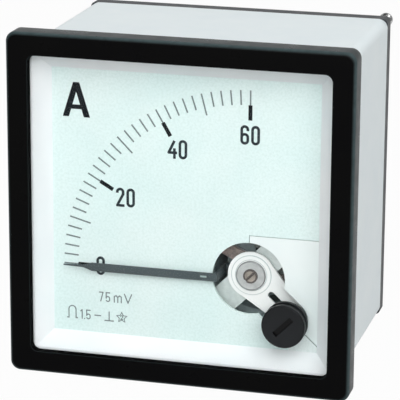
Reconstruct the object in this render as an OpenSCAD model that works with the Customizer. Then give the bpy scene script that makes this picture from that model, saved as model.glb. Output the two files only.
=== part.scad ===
// Analog panel meter, square bezel, 90 degree moving-coil ammeter, 0 to 60 A.
// Origin: centre of the bezel's rear face, where the meter meets the panel.
// +X right, +Y backwards into the panel, +Z up. The viewer stands at -Y. Millimetres.

/* [Bezel] */
// Width and height of the bezel; case, window, dial and movement follow it
bezel_w = 72; // [66:0.5:84]
// How far the bezel reaches past the case on each side
bezel_overhang = 3; // [2.6:0.1:3.6]
// How far the bezel stands in front of the panel
bezel_depth = 5; // [4.6:0.1:7]
// Radius of the bezel's outer corners
bezel_corner_r = 2; // [1.2:0.1:3]
// Bevel along the bezel's front edge
bezel_bevel = 0.6; // [0.3:0.1:0.9]
// How far the opening's edge stands inside the case's outer face
opening_inset = 1.65; // [1.4:0.05:2.4]
// Radius of the opening's corners
opening_corner_r = 2.6; // [1:0.1:3.5]
// Depth of the lip in front of the window
lip_depth = 1.8; // [1:0.1:2]

/* [Case] */
// Depth of the case behind the panel face
case_depth = 42.95; // [42:0.05:60]
// Wall of the case
case_wall = 1.5; // [1.2:0.1:1.7]
// Radius of the case's long corners
case_corner_r = 2; // [1.2:0.1:2.6]
// Radius of the four corner columns
column_r = 2.6; // [2.3:0.1:2.8]
// Distance from the case's outer face to a column's centre
column_inset = 3; // [2.8:0.1:3.4]

/* [Rear cover] */
// Thickness of the rear cover
cover_t = 3.3; // [2.4:0.05:5]
// Radius of the cover's corners
cover_corner_r = 1; // [0.5:0.1:2]
// Height of the rib that locates the cover in the case
cover_rib_h = 1.5; // [1:0.1:3]
// Wall of that rib
cover_rib_wall = 1.2; // [0.8:0.1:1.6]

/* [Window and inner frame] */
// Thickness of the clear window
window_t = 1.3; // [1:0.1:1.7]
// Thickness of the inner frame's flange
flange_t = 0.8; // [0.6:0.1:1]
// Wall of the inner frame, measured sideways
funnel_wall = 0.85; // [0.6:0.05:0.9]
// How far each wall of the inner frame slopes in over the dial
funnel_run = 3.35; // [3:0.05:4.5]

/* [Dial] */
// Distance of the dial's front behind the panel face
dial_y = 1; // [0.6:0.1:1.2]
// Thickness of the dial plate
dial_t = 0.6; // [0.4:0.1:0.8]
// Radius of the round cut-out over the movement
dial_hole_r = 7.6; // [7.5:0.1:8]
// Half width of the cut-out over the zero lever
dial_slot_r = 4; // [3.8:0.1:4.4]
// Height of the corner plate's top edge above the pivot
corner_plate_rise = 9.2; // [8.6:0.1:11]
// Seam between the dial and the corner plate
plate_seam = 0.15; // [0.1:0.05:0.3]

/* [Scale] */
// Space between the zero mark and the visible dial's left edge
scale_margin = 2.25; // [1.4:0.05:3]
// Length of a short graduation mark
mark_short = 3.05; // [2.5:0.05:3.5]
// Length of a middle graduation mark
mark_long = 4.55; // [4:0.05:5]
// Extra length of the thick bar under a numbered mark
mark_bar = 3.1; // [2.5:0.05:3.5]
// Width of a thin mark
mark_w = 0.3; // [0.2:0.02:0.5]
// Width of a thick bar
bar_w = 0.8; // [0.6:0.05:1.2]
// Value at full scale
scale_full = 60; // [60:20:120]
// Value of one division
scale_step = 2; // [2:3:5]
// Distance from the scale's outer edge in to the numbers' centres
number_inset = 9.2; // [8.6:0.05:11]
// Height of a number
number_h = 4; // [3:0.1:4.6]
// Width of one digit
number_w = 1.8; // [1.4:0.05:2.2]
// Stroke of a number
number_stroke = 0.54; // [0.3:0.02:0.6]
// Thickness of the printed ink
ink_t = 0.06; // [0.04:0.01:0.1]

/* [Movement] */
// Pivot axis, in from the visible dial's right edge
pivot_inset = 14.45; // [14:0.05:16]
// Pivot axis, up from the visible dial's lower edge
pivot_rise = 14.55; // [14:0.05:15]
// Height of the front bridge behind the panel face
bridge_y = 4.4; // [4.2:0.05:4.8]
// Thickness of the front bridge
bridge_t = 1; // [0.8:0.1:1.1]
// Width of the front bridge
bridge_w = 6; // [5:0.1:6.4]
// Radius of the magnet core
core_r = 7; // [6.6:0.1:7.2]
// Length of the magnet core
core_len = 11; // [9:0.1:13]
// Gap between the coil and the soft iron ring
yoke_gap = 0.8; // [0.6:0.05:1]
// Wall of the soft iron ring
yoke_wall = 3.6; // [3.4:0.05:3.8]
// Gap between the core and the coil former
coil_gap = 0.7; // [0.5:0.05:0.75]
// Wall of the aluminium coil former
former_t = 0.4; // [0.3:0.05:0.45]
// Build-up of the copper winding
winding_t = 1; // [0.7:0.1:1]
// Width of the winding
winding_w = 2.6; // [1.8:0.1:2.8]

/* [Pointer] */
// How far the needle's tip stays inside the scale's outer edge
tip_inset = 0.2; // [0.2:0.05:1.5]
// Length of the thin needle in front of the blade
needle_len = 6.1; // [5:0.1:8]
// Width of the pointer's blade
blade_w = 1.75; // [1.2:0.05:2]
// Width of the needle
needle_w = 0.5; // [0.3:0.05:0.7]
// Thickness of the pointer sheet
pointer_t = 0.2; // [0.15:0.05:0.3]
// Gap between the pointer and the dial
pointer_gap = 1.1; // [0.8:0.1:1.2]

/* [Zero adjustment] */
// Adjuster axis, to the right of the pivot
adjuster_dx = 8.5; // [8.2:0.1:9]
// Adjuster axis, below the pivot
adjuster_drop = 7.9; // [7.3:0.05:8.2]
// Radius of the adjuster's head
adjuster_r = 4.5; // [4:0.1:4.7]
// How far the head stands in front of the window
adjuster_proud = 1.25; // [0.6:0.05:1.5]
// Radius of the adjuster's shaft in the window
adjuster_shaft_r = 2.5; // [2:0.1:3]
// Eccentric offset of the drive pin
pin_offset = 0.9; // [0.5:0.1:1.1]
// Radius of the drive pin
pin_r = 0.55; // [0.4:0.05:0.6]
// Radius of the zero lever's disc
lever_disc_r = 4.95; // [4.7:0.05:5.1]
// Half width of the lever's arm at the adjuster
lever_arm_r = 2.9; // [2.4:0.1:3.2]
// Thickness of the zero lever
lever_t = 0.5; // [0.4:0.05:0.55]

/* [Terminals and fixing] */
// Radius of a terminal stud's thread
terminal_r = 2; // [1.9:0.05:2.5]
// Distance between the two terminals
terminal_pitch = 32; // [28:0.5:38]
// Height of the terminals above the centre
terminal_z = 12; // [10:0.5:14]
// Length of a terminal stud behind the cover
terminal_len = 13.75; // [11:0.25:20]
// Across-flats width of a terminal nut
nut_af = 7; // [6.5:0.1:8]
// Thickness of a terminal nut
nut_t = 2.4; // [2:0.1:3.2]
// Thickness of a terminal washer
washer_t = 0.8; // [0.5:0.1:1]
// Radius of a fixing stud's thread
fixing_r = 1.5; // [1.3:0.05:1.6]
// Length of a fixing stud behind the cover
fixing_len = 11.75; // [8:0.25:16]

/* [Hidden] */
$fn = 64;
eps = 0.01;

// Clearances
seat_gap = 0.15;
running_gap = 0.05;
thread_gap = 0.02;
free_gap = 0.3;

// Bezel, window and inner frame, front to back
bezel_half = bezel_w / 2;
case_half = bezel_half - bezel_overhang;
opening_half = case_half - opening_inset;
pocket_half = case_half + seat_gap;
case_inner = case_half - case_wall;
case_inner_r = max(case_corner_r - case_wall, 0.3);
lip_y = -bezel_depth + lip_depth;
window_back = lip_y + window_t;
flange_back = window_back + flange_t;
dial_view = opening_half - funnel_run;
dial_half = case_inner - seat_gap;
dial_corner_r = 0.8;
dial_back = dial_y + dial_t;
column_at = case_half - column_inset;
cover_back = case_depth + cover_t;
stud_corners = [[1, 1], [-1, -1]];
screw_corners = [[-1, 1], [1, -1]];
insert_wall = 0.4;
insert_r = fixing_r + insert_wall;
stud_seat = 8;
screw_seat = 10;
cover_screw_r = 1.2;
screw_head_t = 1.5;
screw_head_r = 2.3;

// Pivot and adjuster axes, placed from the visible dial's lower right corner
pivot_x = dial_view - pivot_inset;
pivot_z = pivot_rise - dial_view;
adjuster_x = pivot_x + adjuster_dx;
adjuster_z = pivot_z - adjuster_drop;

// Printed marks, placed from the visible dial's edges
scale_r = pivot_x + dial_view - scale_margin;
number_r = scale_r - number_inset;
unit_h = 7.2;
unit_w = 5.8;
unit_stroke = 1.3;
unit_inset = 5.1;
unit_top = 2.9;
unit_x = unit_inset - dial_view;
unit_z = dial_view - unit_top - unit_h / 2;
symbol_h = 2.1;
symbol_w = 0.95;
symbol_stroke = 0.22;
symbol_inset = 3.9;
symbol_rise = 3.65;
symbol_x = symbol_inset - dial_view;
symbol_z = symbol_rise - dial_view;
symbol_pitch = 1.05;
rating_rise = 4.2;
rating_x = symbol_x + 6 * symbol_pitch;
rating_z = symbol_z + rating_rise;

// Zero adjustment
head_front = lip_y - adjuster_proud;
head_t = adjuster_proud - running_gap;
ring_t = 0.8;
ring_front = window_back + running_gap;
ring_back = ring_front + ring_t;
driver_slot_len = 5;
driver_slot_w = 1.15;
driver_slot_depth = 0.5;
lever_reach = norm([adjuster_x - pivot_x, adjuster_z - pivot_z]);
lever_angle = atan2(adjuster_z - pivot_z, adjuster_x - pivot_x);
pin_r_at = lever_reach - pin_offset;
fork_play = 0.4;
fork_w = 2 * pin_r + fork_play;
fork_start = 5.85;

// Front bearing, front to back
bush_r = 2.2;
bush_len = 1.05;
bush_front = bridge_y - bush_len;
lever_front = bush_front + running_gap;
lever_back = lever_front + lever_t;
lever_rib_h = 0.15;
lever_overrun = 1.2;
nut_r = 3.05;
nut_thick = 0.55;
jewel_screw_r = 1.5;
jewel_screw_proud = 0.4;
jewel_screw_front = bush_front - nut_thick - jewel_screw_proud;
bridge_back = bridge_y + bridge_t;
bridge_end = 2.6;
bridge_angle = 45;
jewel_r = 0.8;
jewel_t = 0.6;
cup_depth = 0.4;
jewel_proud = 0.3;
front_jewel_y = bridge_back + jewel_proud;
tip_gap = 0.03;

// Moving coil, front to back
spindle_r = 0.5;
collet_r = 1.2;
collet_t = 0.6;
spring_w = 0.4;
spring_strip = 0.12;
spring_turns = 5;
spring_seat = 0.1;
spring_r_in = collet_r + spring_seat;
spring_r_out = 3.6;
collet_y = front_jewel_y + jewel_t + seat_gap;
hub_y = collet_y + collet_t + free_gap;
hub_t = 0.6;
hub_r = 1.5;
arm_t = 0.4;
arm_gap = 0.2;
cross_y = hub_y + hub_t + arm_gap;
foot_y = cross_y + arm_t + arm_gap;
foot_t = 0.5;
foot_r = 1.2;
coil_front = foot_y + foot_t;
coil_inner_front = coil_front + winding_t + former_t;
core_end_gap = 0.6;
core_front = coil_inner_front + core_end_gap;
core_back = core_front + core_len;
coil_inner_back = core_back + core_end_gap;
coil_back = coil_inner_back + former_t + winding_t;
coil_inner_half = core_r + coil_gap;
former_half = coil_inner_half + former_t;
coil_half = former_half + winding_t;
coil_rest_angle = 155;
former_lip = 0.3;
rear_spring_gap = 0.8;
rear_bearing_gap = 1.1;
rear_collet_y = coil_back + foot_t + rear_spring_gap;
rear_jewel_y = rear_collet_y + collet_t + rear_bearing_gap;
spring_lift = 0.1;

// Magnet system, from the coil outwards
yoke_bore_r = coil_half + yoke_gap;
yoke_r = yoke_bore_r + yoke_wall;
pillar_ring_r = (yoke_bore_r + yoke_r) / 2;
bridge_half_len = pillar_ring_r + bridge_end;
base_front = rear_jewel_y;
base_t = 3;
base_lip = 0.5;
base_r = yoke_r + base_lip;
rim_recess = 0.6;
base_back = base_front + base_t;
post_r_at = 5.2;
post_angle = 20;
post_r = 1;
core_screw_r = 0.75;
core_screw_floor = 0.8;
core_screw_head_r = 1.3;
core_screw_head_t = 0.5;
rear_screw_len = 1.6;
pillar_r = 1.8;
bridge_screw_r = 0.9;
bridge_thread = 3;
movement_pillar_angles = [60, 180, 300];
movement_pillar_r = 2.2;
movement_screw_r = 1.1;
movement_thread = 1.5;
movement_head_r = 2.1;
movement_head_t = 1.3;
anchor_half = 0.3;
anchor_seat = 0.2;
anchor_r_at = spring_r_out + anchor_half + anchor_seat;

// Pointer
pointer_back = dial_y - pointer_gap;
pointer_front = pointer_back - pointer_t;
pointer_len = scale_r - tip_inset;
blade_end_r = pointer_len - needle_len;
blade_taper = 1.8;
crank_r = 6.3;
crank_t = 0.5;
balance_r = 4.6;
weight_r = 0.55;
weight_len = 1.4;
tail_weight_r = 0.85;
tail_weight_len = 5.3;

// Terminals
terminal_x = terminal_pitch / 2;
thread_depth = 0.35;
shank_r = terminal_r - thread_depth;
tag_t = 0.5;
bolt_head_t = 2.2;
washer_rim = 0.8;
washer_r = nut_af / 2 + washer_rim;
tag_rim = 0.4;
tag_eye_r = nut_af / 2 + tag_rim;
tag_len = 8;
tag_w = 4;
tip_bevel = 0.5;
stack_back = cover_back + 2 * washer_t + 2 * nut_t;
free_len = cover_back + terminal_len - stack_back;
polarity_w = 3.2;
polarity_line = 0.7;
polarity_raise = 0.3;

// Wiring
resistor_x = -12;
resistor_z = -6;
resistor_depth = 7.2;
resistor_at = [resistor_x, case_depth - resistor_depth, resistor_z];
resistor_len = 12;
resistor_r = 2.6;
resistor_lead_r = 0.4;
resistor_lead = 2;
wire_r = 0.5;
wire_bend = 3;

// ---- Small helpers -------------------------------------------------------

// Extrudes a front-view outline (x to +X, y to +Z) from y0 backwards.
module slab(y0, thickness) {
    translate([0, y0 + thickness, 0]) rotate([90, 0, 0]) linear_extrude(thickness) children();
}

// Round bar along +Y whose axis crosses the front view at x, z.
module bar_y(x, z, y0, len, r) {
    translate([x, y0, z]) rotate([-90, 0, 0]) cylinder(r = r, h = len);
}

// Moves a shape built around the origin onto the pivot axis, turned anticlockwise by a.
module at_pivot(a = 0) {
    translate([pivot_x, 0, pivot_z]) rotate([0, -a, 0]) children();
}

// Square with rounded corners, given by its half width.
module rounded_square(half, r) {
    square([2 * half, 2 * (half - r)], center = true);
    square([2 * (half - r), 2 * half], center = true);
    for (sx = [-1, 1], sy = [-1, 1]) {
        translate([sx * (half - r), sy * (half - r)]) circle(r);
    }
}

// Rounded square block along +Y whose front edge is bevelled.
module bevelled_block(half, r, y0, len, bevel) {
    slab(y0 + bevel, len - bevel) rounded_square(half, r);
    translate([0, y0 + bevel, 0]) rotate([90, 0, 0]) {
        for (sx = [-1, 1], sy = [-1, 1]) {
            translate([sx * (half - r), sy * (half - r), 0])
                cylinder(r1 = r, r2 = r - bevel, h = bevel);
        }
        for (turn = [0, 90]) rotate([0, 0, turn]) rotate([90, 0, 0])
            linear_extrude(2 * (half - r), center = true)
                polygon([[-half, 0], [half, 0], [half - bevel, bevel], [-half + bevel, bevel]]);
    }
}

// Square funnel body between two half widths, along +Y.
module square_frustum(half0, half1, y0, len) {
    reach = max(half0, half1);
    intersection() {
        translate([0, 0, -reach]) linear_extrude(2 * reach)
            polygon([[-half0, y0], [half0, y0], [half1, y0 + len], [-half1, y0 + len]]);
        rotate([0, 90, 0]) translate([0, 0, -reach]) linear_extrude(2 * reach)
            polygon([[-half0, y0], [half0, y0], [half1, y0 + len], [-half1, y0 + len]]);
    }
}

// Upright slot with round ends, w wide and h high.
module stadium(w, h) {
    square([w, h - w], center = true);
    for (side = [-1, 1]) translate([0, side * (h - w) / 2]) circle(w / 2);
}

// Straight stroke between two points of the front view, s wide.
module stroke(a, b, s) {
    d = b - a;
    translate(a) rotate(atan2(d[1], d[0])) translate([0, -s / 2]) square([norm(d), s]);
}

// Chain of strokes with round joints.
module polyline(points, s) {
    for (i = [0 : len(points) - 2]) stroke(points[i], points[i + 1], s);
    for (i = [1 : 1 : len(points) - 2]) translate(points[i]) circle(s / 2);
}

// Regular hexagon given by its width across flats.
module hexagon(across_flats) {
    circle(across_flats / (2 * cos(30)), $fn = 6);
}

// Rounded bar along any line, for wires.
module wire_run(points, r) {
    for (i = [0 : len(points) - 2]) {
        d = points[i + 1] - points[i];
        translate(points[i]) rotate([0, acos(d[2] / norm(d)), atan2(d[1], d[0])])
            cylinder(r = r, h = norm(d), $fn = 24);
    }
    for (i = [1 : 1 : len(points) - 2]) translate(points[i]) sphere(r * 1.04, $fn = 24);
}

// ---- Digits and letters, centred, h high, w wide, stroke s ----------------

module ring_glyph(w, h, s) {
    difference() {
        stadium(w, h);
        stadium(w - 2 * s, h - 2 * s);
    }
}

module digit_two(w, h, s) {
    r = w / 2;
    top = h / 2 - r;
    intersection() {
        translate([0, top]) difference() {
            circle(r);
            circle(r - s);
        }
        translate([-w, top - s / 3]) square([2 * w, r + s]);
    }
    polyline([[r - s / 2, top], [r - s / 2, top - h * 0.1], [-r + s / 2, -h / 2 + s / 2],
        [r, -h / 2 + s / 2]], s);
}

module digit_four(w, h, s) {
    bar_at = -h * 0.19;
    stem = w * 0.25;
    reach = w * 0.56;
    translate([stem - s / 2, -h / 2]) square([s, h * 0.54]);
    polyline([[stem, h / 2 - s / 2], [-reach + s / 2, bar_at], [reach, bar_at]], s);
}

module digit_six(w, h, s) {
    bowl = h * 0.6;
    difference() {
        ring_glyph(w, h, s);
        translate([0, -h / 2 + w / 2]) square([w, h - w - s / 2]);
    }
    translate([0, -h / 2 + bowl / 2]) ring_glyph(w, bowl, s);
}

module digit_one(w, h, s) {
    polyline([[-w * 0.25, h * 0.28], [w * 0.12, h / 2 - s / 2], [w * 0.12, -h / 2]], s);
}

module digit_five(w, h, s) {
    bowl = h * 0.6;
    translate([-w / 2, h / 2 - s]) square([w, s]);
    translate([-w / 2, -h / 2 + bowl - w / 2]) square([s, h - bowl + w / 2]);
    difference() {
        translate([0, -h / 2 + bowl / 2]) ring_glyph(w, bowl, s);
        translate([-w, -h / 2 + w * 0.42]) square([w, bowl - w]);
    }
}

module digit_seven(w, h, s) {
    translate([-w / 2, h / 2 - s]) square([w, s]);
    stroke([w / 2 - s / 2, h / 2 - s / 2], [-w * 0.15, -h / 2], s);
}

module digit(d, w, h, s) {
    if (d == 0) ring_glyph(w, h, s);
    if (d == 1) digit_one(w, h, s);
    if (d == 2) digit_two(w, h, s);
    if (d == 4) digit_four(w, h, s);
    if (d == 5) digit_five(w, h, s);
    if (d == 6) digit_six(w, h, s);
    if (d == 7) digit_seven(w, h, s);
    if (d == 8) {
        translate([0, h * 0.24]) ring_glyph(w, h * 0.52, s);
        translate([0, -h * 0.21]) ring_glyph(w, h * 0.58, s);
    }
}

module letter_a(w, h, s) {
    crossbar = -h * 0.21;
    polygon([[-w / 2, -h / 2], [-w / 2 + s, -h / 2], [0, h / 2 - s * 1.5], [w / 2 - s, -h / 2],
        [w / 2, -h / 2], [s / 2, h / 2], [-s / 2, h / 2]]);
    translate([-w * 0.3, crossbar - s * 0.35]) square([w * 0.6, s * 0.7]);
}

// Whole number written with its digits side by side.
module number(value, w, h, s) {
    digits = value < 10 ? [value] : value < 100 ? [floor(value / 10), value % 10]
        : [floor(value / 100), floor(value / 10) % 10, value % 10];
    pitch = w * 1.24;
    for (i = [0 : len(digits) - 1]) {
        translate([(i - (len(digits) - 1) / 2) * pitch, 0]) digit(digits[i], w, h, s);
    }
}

// ---- Housing ---------------------------------------------------------------

module bezel() {
    color([0.06, 0.07, 0.07]) difference() {
        bevelled_block(bezel_half, bezel_corner_r, -bezel_depth, bezel_depth, bezel_bevel);
        slab(-bezel_depth - eps, bezel_depth + 2 * eps)
            rounded_square(opening_half, opening_corner_r);
        slab(lip_y, bezel_depth) rounded_square(pocket_half, case_corner_r);
    }
}

module window() {
    color([0.9, 0.95, 0.95, 0.25]) difference() {
        slab(lip_y, window_t) rounded_square(case_half, case_corner_r);
        bar_y(adjuster_x, adjuster_z, lip_y - eps, window_t + 2 * eps,
            adjuster_shaft_r + running_gap);
    }
}

// White frame: a flange behind the window, then four walls that slope in to the dial.
module inner_frame() {
    funnel_len = dial_y - window_back;
    color([0.93, 0.95, 0.95]) difference() {
        union() {
            slab(window_back, flange_t) rounded_square(case_half, case_corner_r);
            intersection() {
                square_frustum(opening_half + funnel_wall, dial_view + funnel_wall, window_back,
                    funnel_len);
                slab(window_back, funnel_len)
                    rounded_square(case_inner - running_gap, case_inner_r);
            }
        }
        square_frustum(opening_half, dial_view, window_back, funnel_len);
        translate([0, -eps, 0])
            square_frustum(opening_half, opening_half, window_back, 2 * eps);
        translate([0, eps, 0])
            square_frustum(dial_view, dial_view, dial_y - eps, eps);
    }
}

module case() {
    color([0.86, 0.89, 0.9]) difference() {
        union() {
            difference() {
                slab(flange_back, case_depth - flange_back)
                    rounded_square(case_half, case_corner_r);
                slab(flange_back - eps, case_depth - flange_back + 2 * eps)
                    rounded_square(case_inner, case_inner_r);
            }
            for (sx = [-1, 1], sz = [-1, 1]) {
                bar_y(sx * column_at, sz * column_at, dial_back, case_depth - dial_back, column_r);
            }
        }
        for (c = stud_corners) {
            bar_y(c[0] * column_at, c[1] * column_at, case_depth - stud_seat, stud_seat + eps,
                insert_r);
        }
        for (c = screw_corners) {
            bar_y(c[0] * column_at, c[1] * column_at, case_depth - screw_seat, screw_seat + eps,
                cover_screw_r);
        }
    }
}

module rear_cover() {
    rib_half = case_inner - seat_gap;
    color([0.12, 0.13, 0.14]) difference() {
        union() {
            slab(case_depth, cover_t) rounded_square(case_half, cover_corner_r);
            difference() {
                slab(case_depth - cover_rib_h, cover_rib_h)
                    rounded_square(rib_half, case_inner_r);
                slab(case_depth - cover_rib_h - eps, cover_rib_h + eps)
                    rounded_square(rib_half - cover_rib_wall, case_inner_r);
                for (sx = [-1, 1], sz = [-1, 1]) {
                    bar_y(sx * column_at, sz * column_at, case_depth - cover_rib_h - eps,
                        cover_rib_h + eps, column_r + seat_gap);
                }
            }
        }
        for (c = stud_corners) {
            bar_y(c[0] * column_at, c[1] * column_at, case_depth - eps, cover_t + 2 * eps,
                insert_r);
        }
        for (c = screw_corners) {
            bar_y(c[0] * column_at, c[1] * column_at, case_depth - eps, cover_t + 2 * eps,
                cover_screw_r + seat_gap);
        }
        for (side = [-1, 1]) {
            bar_y(side * terminal_x, terminal_z, case_depth - eps, cover_t + 2 * eps, shank_r);
        }
        for (a = movement_pillar_angles) {
            bar_y(pivot_x + pillar_ring_r * cos(a), pivot_z + pillar_ring_r * sin(a),
                case_depth - eps, cover_t + 2 * eps, movement_screw_r + seat_gap);
        }
    }
}

// Pan head screw along +Y, its head behind the seat at y_seat.
module pan_screw_back(x, z, y_seat, shank, r, head_r, head_h) {
    difference() {
        union() {
            bar_y(x, z, y_seat - shank, shank, r);
            translate([x, y_seat, z]) rotate([-90, 0, 0]) rotate_extrude()
                polygon([[0, 0], [head_r, 0], [head_r, head_h * 0.55], [head_r * 0.8, head_h],
                    [0, head_h]]);
        }
        translate([x, y_seat + head_h, z]) cube([2 * head_r + 1, head_h, 0.6], center = true);
    }
}

module cover_screws() {
    color([0.75, 0.77, 0.78]) for (c = screw_corners) {
        pan_screw_back(c[0] * column_at, c[1] * column_at, cover_back,
            cover_t + screw_seat - 0.5, cover_screw_r, screw_head_r, screw_head_t);
    }
}

// Threaded studs moulded into two opposite columns; their free ends are rounded.
module fixing_studs() {
    color([0.75, 0.77, 0.78]) for (c = stud_corners) {
        translate([c[0] * column_at, 0, c[1] * column_at]) {
            translate([0, case_depth - stud_seat, 0]) rotate([-90, 0, 0])
                cylinder(r = insert_r, h = stud_seat + cover_t);
            translate([0, cover_back - eps, 0]) rotate([-90, 0, 0]) rotate_extrude()
                polygon(concat([[0, 0], [fixing_r, 0]],
                    [for (a = [0 : 15 : 90]) [fixing_r * cos(a),
                        fixing_len - fixing_r * (1 - sin(a)) * 0.7 + eps]]));
        }
    }
}

// ---- Dial --------------------------------------------------------------------

// Round cut-out over the bearing, run out to the adjuster.
module dial_cutout() {
    translate([pivot_x, pivot_z]) {
        circle(dial_hole_r);
        rotate(lever_angle) translate([0, -dial_slot_r])
            square([lever_reach, 2 * dial_slot_r]);
        rotate(lever_angle) translate([lever_reach, 0]) circle(dial_slot_r);
    }
}

// Corner of the dial window that the corner plate fills, drawn back by a gap.
module corner_area(gap) {
    reach = 2 * dial_half;
    run = [cos(lever_angle), sin(lever_angle)];
    side = [-run[1], run[0]];
    start = [pivot_x + gap, pivot_z] + side * gap;
    intersection() {
        rounded_square(dial_half, dial_corner_r);
        polygon([[pivot_x + gap, pivot_z + corner_plate_rise - gap], start, start + run * reach,
            [reach, pivot_z + corner_plate_rise - gap]]);
    }
}

module dial_plate() {
    color([0.88, 0.97, 0.96]) slab(dial_y, dial_t) difference() {
        rounded_square(dial_half, dial_corner_r);
        corner_area(0);
        dial_cutout();
    }
}

module corner_plate() {
    peg_r = 1.2;
    peg_angle = 8;
    color([0.96, 0.98, 0.98]) {
        slab(dial_y, dial_t) difference() {
            corner_area(plate_seam);
            dial_cutout();
        }
        bar_y(pivot_x + pillar_ring_r * cos(peg_angle), pivot_z + pillar_ring_r * sin(peg_angle),
            dial_back - eps, core_front - dial_back + eps, peg_r);
    }
}

// Places ink drawn around the origin at x, z on the dial's front face.
module ink(x = 0, z = 0) {
    slab(dial_y - ink_t, ink_t) translate([x, z]) children();
}

// Angle of a value: zero points left, full scale points straight up.
function value_angle(v) = 180 - 90 * v / scale_full;

module scale_marks() {
    color([0.45, 0.5, 0.5]) ink(pivot_x, pivot_z) {
        for (v = [0 : scale_step : scale_full]) rotate(value_angle(v)) {
            reach = v % 10 == 0 && v % 20 != 0 ? mark_long : mark_short;
            translate([scale_r - reach, -mark_w / 2]) square([reach, mark_w]);
        }
    }
}

// Thick bars that carry the numbered marks on inwards.
module scale_bars() {
    color([0.1, 0.12, 0.13]) ink(pivot_x, pivot_z) {
        for (v = [0 : 20 : scale_full]) rotate(value_angle(v)) {
            translate([scale_r - mark_short - mark_bar, -bar_w / 2]) square([mark_bar, bar_w]);
        }
    }
}

module scale_numbers() {
    color([0.2, 0.23, 0.24]) for (v = [0 : 20 : scale_full]) {
        r = number_r + (v == 0 ? number_w * 0.75 : 0);
        a = value_angle(v);
        ink(pivot_x + r * cos(a), pivot_z + r * sin(a)) number(v, number_w, number_h, number_stroke);
    }
}

module unit_mark() {
    color([0.2, 0.23, 0.24]) ink(unit_x, unit_z) letter_a(unit_w, unit_h, unit_stroke);
}

// Moving-coil symbol: a horseshoe with feet.
module horseshoe_symbol(h, s) {
    r = h * 0.42;
    leg = h / 2 - r;
    intersection() {
        ring_glyph(2 * r, 4 * r, s);
        translate([-r, 0]) square([2 * r, 2 * r]);
    }
    for (side = [-1, 1]) {
        translate([side * (r - s / 2) - s / 2, -h / 2]) square([s, h / 2 + leg]);
        translate([side * (r + s * 0.4) - s, -h / 2]) square([2 * s, s]);
    }
}

function star_outline(r, tips = 5) = [for (i = [0 : 2 * tips - 1])
    let (reach = i % 2 == 0 ? r : r * 0.5, a = 90 + i * 180 / tips) [reach * cos(a), reach * sin(a)]];

module star_symbol(h, s) {
    reach = h * 0.62;
    difference() {
        polygon(star_outline(reach));
        polygon(star_outline(reach - s * 1.6));
    }
    digit_two(h * 0.3, h * 0.46, s * 0.7);
}

// Letters of the rating, written from the height h of a small letter.
module letter_m(h, s) {
    arch = h * 0.18;
    for (side = [-1, 1]) {
        polyline([[0, -h * 0.36], [0, h * 0.2], [side * arch, h * 0.36], [side * 2 * arch, h * 0.26],
            [side * 2 * arch, -h * 0.36]], s);
    }
}

module letter_v(h, s) {
    polyline([[-h * 0.38, h / 2], [0, -h / 2 + s / 2], [h * 0.38, h / 2]], s);
}

// Places a symbol n half-letter steps to the right of x on the line at z.
module symbol_at(n, x, z) {
    ink(x + n * symbol_pitch, z) children();
}

module dial_symbols() {
    s = symbol_stroke;
    h = symbol_h;
    foot = symbol_z - h / 2 + s / 2;
    color([0.3, 0.33, 0.34]) {
        symbol_at(0, symbol_x, symbol_z) horseshoe_symbol(h, s);
        symbol_at(1.9, symbol_x, symbol_z) digit_one(symbol_w, h, s);
        symbol_at(2.5, symbol_x, foot) square(s, center = true);
        symbol_at(3.3, symbol_x, symbol_z) digit_five(symbol_w, h, s);
        symbol_at(5.25, symbol_x, symbol_z) square([1.5 * symbol_w, s], center = true);
        symbol_at(7.6, symbol_x, foot) square([2.1 * symbol_w, s], center = true);
        symbol_at(7.6, symbol_x, symbol_z) square([s, h], center = true);
        symbol_at(10.2, symbol_x, symbol_z) star_symbol(h, s);
        symbol_at(0, rating_x, rating_z) digit_seven(symbol_w, h, s);
        symbol_at(1.35, rating_x, rating_z) digit_five(symbol_w, h, s);
        symbol_at(3.4, rating_x, rating_z - h * 0.14) letter_m(h, s);
        symbol_at(5.5, rating_x, rating_z) letter_v(h, s);
    }
}

// ---- Zero adjustment -----------------------------------------------------------

module at_adjuster() {
    translate([adjuster_x, 0, adjuster_z]) children();
}

module zero_adjuster() {
    edge = 0.25;
    color([0.13, 0.14, 0.15]) difference() {
        union() {
            at_adjuster() translate([0, head_front, 0]) rotate([-90, 0, 0]) rotate_extrude()
                polygon([[0, 0], [adjuster_r - edge, 0], [adjuster_r, edge], [adjuster_r, head_t],
                    [adjuster_shaft_r, head_t], [adjuster_shaft_r, ring_back - head_front],
                    [0, ring_back - head_front]]);
            bar_y(pivot_x + pin_r_at * cos(lever_angle), pivot_z + pin_r_at * sin(lever_angle),
                ring_back - eps, lever_back + free_gap - ring_back, pin_r);
        }
        at_adjuster() translate([0, head_front, 0]) rotate([0, -45, 0])
            cube([driver_slot_len, 2 * driver_slot_depth, driver_slot_w], center = true);
    }
}

// Ring pressed on the shaft behind the window.
module adjuster_ring() {
    color([0.13, 0.14, 0.15]) difference() {
        bar_y(adjuster_x, adjuster_z, ring_front, ring_t, adjuster_r);
        bar_y(adjuster_x, adjuster_z, ring_front - eps, ring_t + 2 * eps, adjuster_shaft_r);
    }
}

// Outline of the lever, arm along +X: a disc whose arm narrows to a fork.
module lever_outline() {
    tangent = acos((lever_disc_r - lever_arm_r) / lever_reach);
    near = (lever_disc_r - running_gap) * [cos(tangent), sin(tangent)];
    far = [lever_reach, 0] + lever_arm_r * [cos(tangent), sin(tangent)];
    circle(lever_disc_r);
    polygon([near, far, [far[0], -far[1]], [near[0], -near[1]]]);
}

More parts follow.
